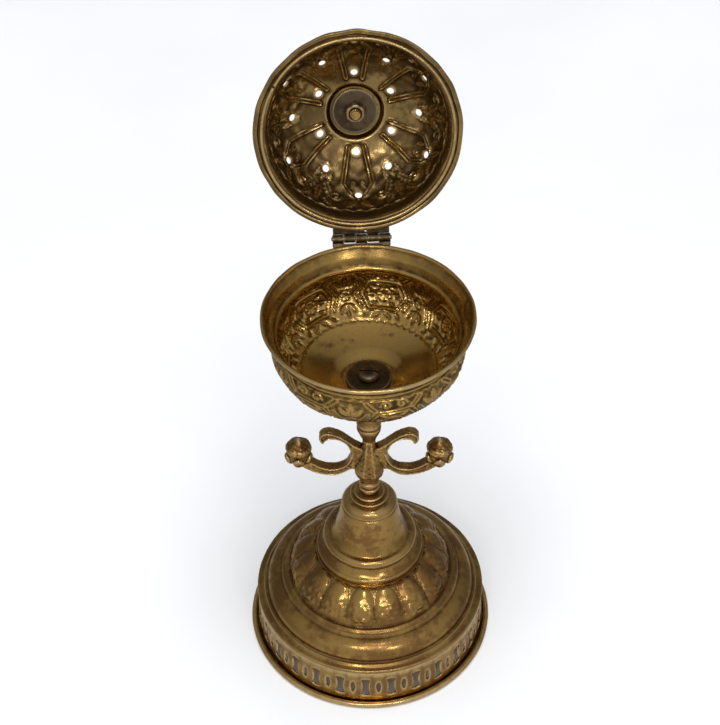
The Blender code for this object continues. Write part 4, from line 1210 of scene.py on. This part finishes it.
def floor_material():
    mat = bpy.data.materials.new("pale_floor")
    mat.use_nodes = True
    tree = mat.node_tree
    shader = tree.nodes["Principled BSDF"]
    shader.inputs["Roughness"].default_value = 0.85
    shader.inputs["Specular IOR Level"].default_value = 0.1
    place = add_node(tree, 'ShaderNodeTexCoord').outputs["Object"]
    shade = remap(tree, noise(tree, place, 4.0, 3.0), 0.3, 0.7)
    color = blend_color(tree, shade, (0.80, 0.79, 0.77), (0.84, 0.83, 0.81))
    tree.links.new(color, shader.inputs["Base Color"])
    return mat


def floor():
    mesh = bpy.data.meshes.new("floor")
    bm = bmesh.new()
    bmesh.ops.create_circle(bm, cap_ends=True, segments=96, radius=FLOOR_RADIUS)
    bm.to_mesh(mesh)
    bm.free()
    mesh.materials.append(floor_material())
    obj = new_object("floor", mesh)
    obj.location.z = AXIS.z - FLOOR_DROP
    obj.visible_glossy = False


def room():
    """Warm surroundings: brightest in front of the censer, dim above and behind it."""
    world = bpy.data.worlds.new("room")
    bpy.context.scene.world = world
    world.use_nodes = True
    tree = world.node_tree
    place = add_node(tree, 'ShaderNodeTexCoord').outputs["Generated"]
    toward = add_node(tree, 'ShaderNodeVectorMath', {0: place, 1: ROOM_FRONT}, operation='DOT_PRODUCT')
    front = remap(tree, toward.outputs["Value"], -0.25, 1.0, 0.0, 0.34)
    parts = add_node(tree, 'ShaderNodeSeparateXYZ', {0: place})
    table = remap(tree, parts.outputs["Z"], -0.05, -0.6, 0.0, 0.28)
    level = math_node(tree, 'ADD', math_node(tree, 'ADD', front, table), 0.2)
    tint = add_node(tree, 'ShaderNodeVectorMath', {0: ROOM_TINT, "Scale": level}, operation='SCALE')
    tree.links.new(tint.outputs[0], tree.nodes["Background"].inputs["Color"])
    tree.nodes["Background"].inputs["Strength"].default_value = 1.0


def soft_light(name, azimuth, elevation, distance, width, height, glow, tint=WARM, seen=True):
    """Rectangular light that faces the bowl; azimuth 0 is the viewer's side, to the right is plus."""
    data = bpy.data.lights.new(name, 'AREA')
    data.shape = 'RECTANGLE'
    data.size, data.size_y = width, height
    data.energy = glow * math.pi * width * height
    data.color = tint
    obj = new_object(name, data)
    a, e = math.radians(azimuth), math.radians(elevation)
    target = AXIS + Vector((0.0, 0.0, LIGHT_TARGET * MM))
    outward = Vector((math.sin(a) * math.cos(e), -math.cos(a) * math.cos(e), math.sin(e)))
    obj.location = target + outward * distance
    obj.rotation_euler = (-outward).to_track_quat('-Z', 'Y').to_euler()
    obj.visible_glossy = seen
    return obj


def lights():
    soft_light("window_left", -14.0, 38.0, 1.7, 0.24, 0.24, 11.0)
    soft_light("window_right", 19.0, 30.0, 1.7, 0.16, 0.24, 10.0)
    soft_light("front", 3.0, 44.0, 1.9, 0.6, 0.4, 2.2)
    soft_light("ceiling", 8.0, 62.0, 1.7, 0.3, 0.14, 8.0)
    soft_light("behind", 170.0, 34.0, 2.0, 0.5, 0.2, 1.2)
    soft_light("fill", 0.0, 88.0, 2.2, 1.8, 1.8, 6.0, tint=COOL, seen=False)


def camera():
    data = bpy.data.cameras.new("camera")
    obj = new_object("camera", data)
    eye = Vector((-38.9, -688.8, 894.9)) * MM
    pitch, yaw, roll = math.radians(45.46), math.radians(-3.3), -0.0061
    turn = Matrix.Rotation(yaw, 4, 'Z') @ Matrix.Rotation(pitch, 4, 'X') @ Matrix.Rotation(roll, 4, 'Z')
    obj.matrix_world = Matrix.Translation(AXIS + eye) @ turn
    data.lens = 89.38
    data.sensor_width = 36.0
    data.shift_x = -0.0138
    data.clip_start, data.clip_end = 0.05, 50.0
    bpy.context.scene.camera = obj


def materials():
    foot = aged_metal("foot_brass", 0.72, (0.16, 0.27), 0.02, spun_lines=0.2)
    lid = aged_metal("lid_brass", 0.75, (0.2, 0.32), 0.04, pits=0.4, grime_and_shade=0.6, bright=(0.4, 0.28, 0.11),
                     tarnish=(0.2, 0.132, 0.058))
    bowl = aged_metal("bowl_brass", 0.35, (0.16, 0.27), 0.03, pits=0.4, grime_and_shade=0.85,
                      bright=(0.58, 0.385, 0.125))
    cast = aged_metal("cast_brass_pitted", 0.75, (0.22, 0.36), 0.1, pits=0.8)
    steel = aged_metal("dark_steel_sooty", 0.6, (0.34, 0.5), 0.06, bright=(0.15, 0.11, 0.07),
                       tarnish=(0.08, 0.058, 0.036), dirt_and_shade=(0.02, 0.015, 0.01), edge=(0.4, 0.33, 0.22))
    hinge_metal = aged_metal("hinge_brass_soldered", 0.6, (0.3, 0.45), 0.1, pits=0.6,
                             bright=(0.2, 0.155, 0.09), tarnish=(0.1, 0.073, 0.042),
                             dirt_and_shade=(0.02, 0.014, 0.008), edge=(0.4, 0.32, 0.2))
    return foot, lid, bowl, cast, steel, hinge_metal


def main():
    bpy.context.scene.view_settings.view_transform = 'Standard'
    camera()
    floor()
    room()
    lights()
    foot, lid, bowl, cast, steel, hinge_metal = materials()
    rim_ring(foot)
    gallery(foot)
    foot_shell(foot)
    foot_cone(foot)
    foot_cap(foot)
    stem_base_disc(foot)
    tie_top = CONE_TOP - PLATE - GAP
    washer("tie_washer", 9.0, tie_top, steel, 15)
    hex_nut("tie_nut", tie_top - WASHER_THICK - GAP, "stand", STAND_PLACE, steel)
    stem_spool(cast)
    scroll_knop(cast)
    stem_collar(cast)
    bowl_seat(cast)
    bowl_shell(bowl)
    washer("bowl_washer", WASHER_RADIUS, BOWL_FLOOR + SHEET + GAP + WASHER_THICK, steel, 16)
    bowl_screw(steel)
    lid_shell(lid)
    lid_rim_wire(lid)
    washer_top = LID_HEIGHT - PLATE - GAP
    washer("lid_washer", WASHER_RADIUS, washer_top, steel, 17, body="lid", place=LID_PLACE)
    hex_nut("lid_nut", washer_top - WASHER_THICK - GAP, "lid", LID_PLACE, steel)
    lid_finial(bowl)
    hinge(hinge_metal)


main()
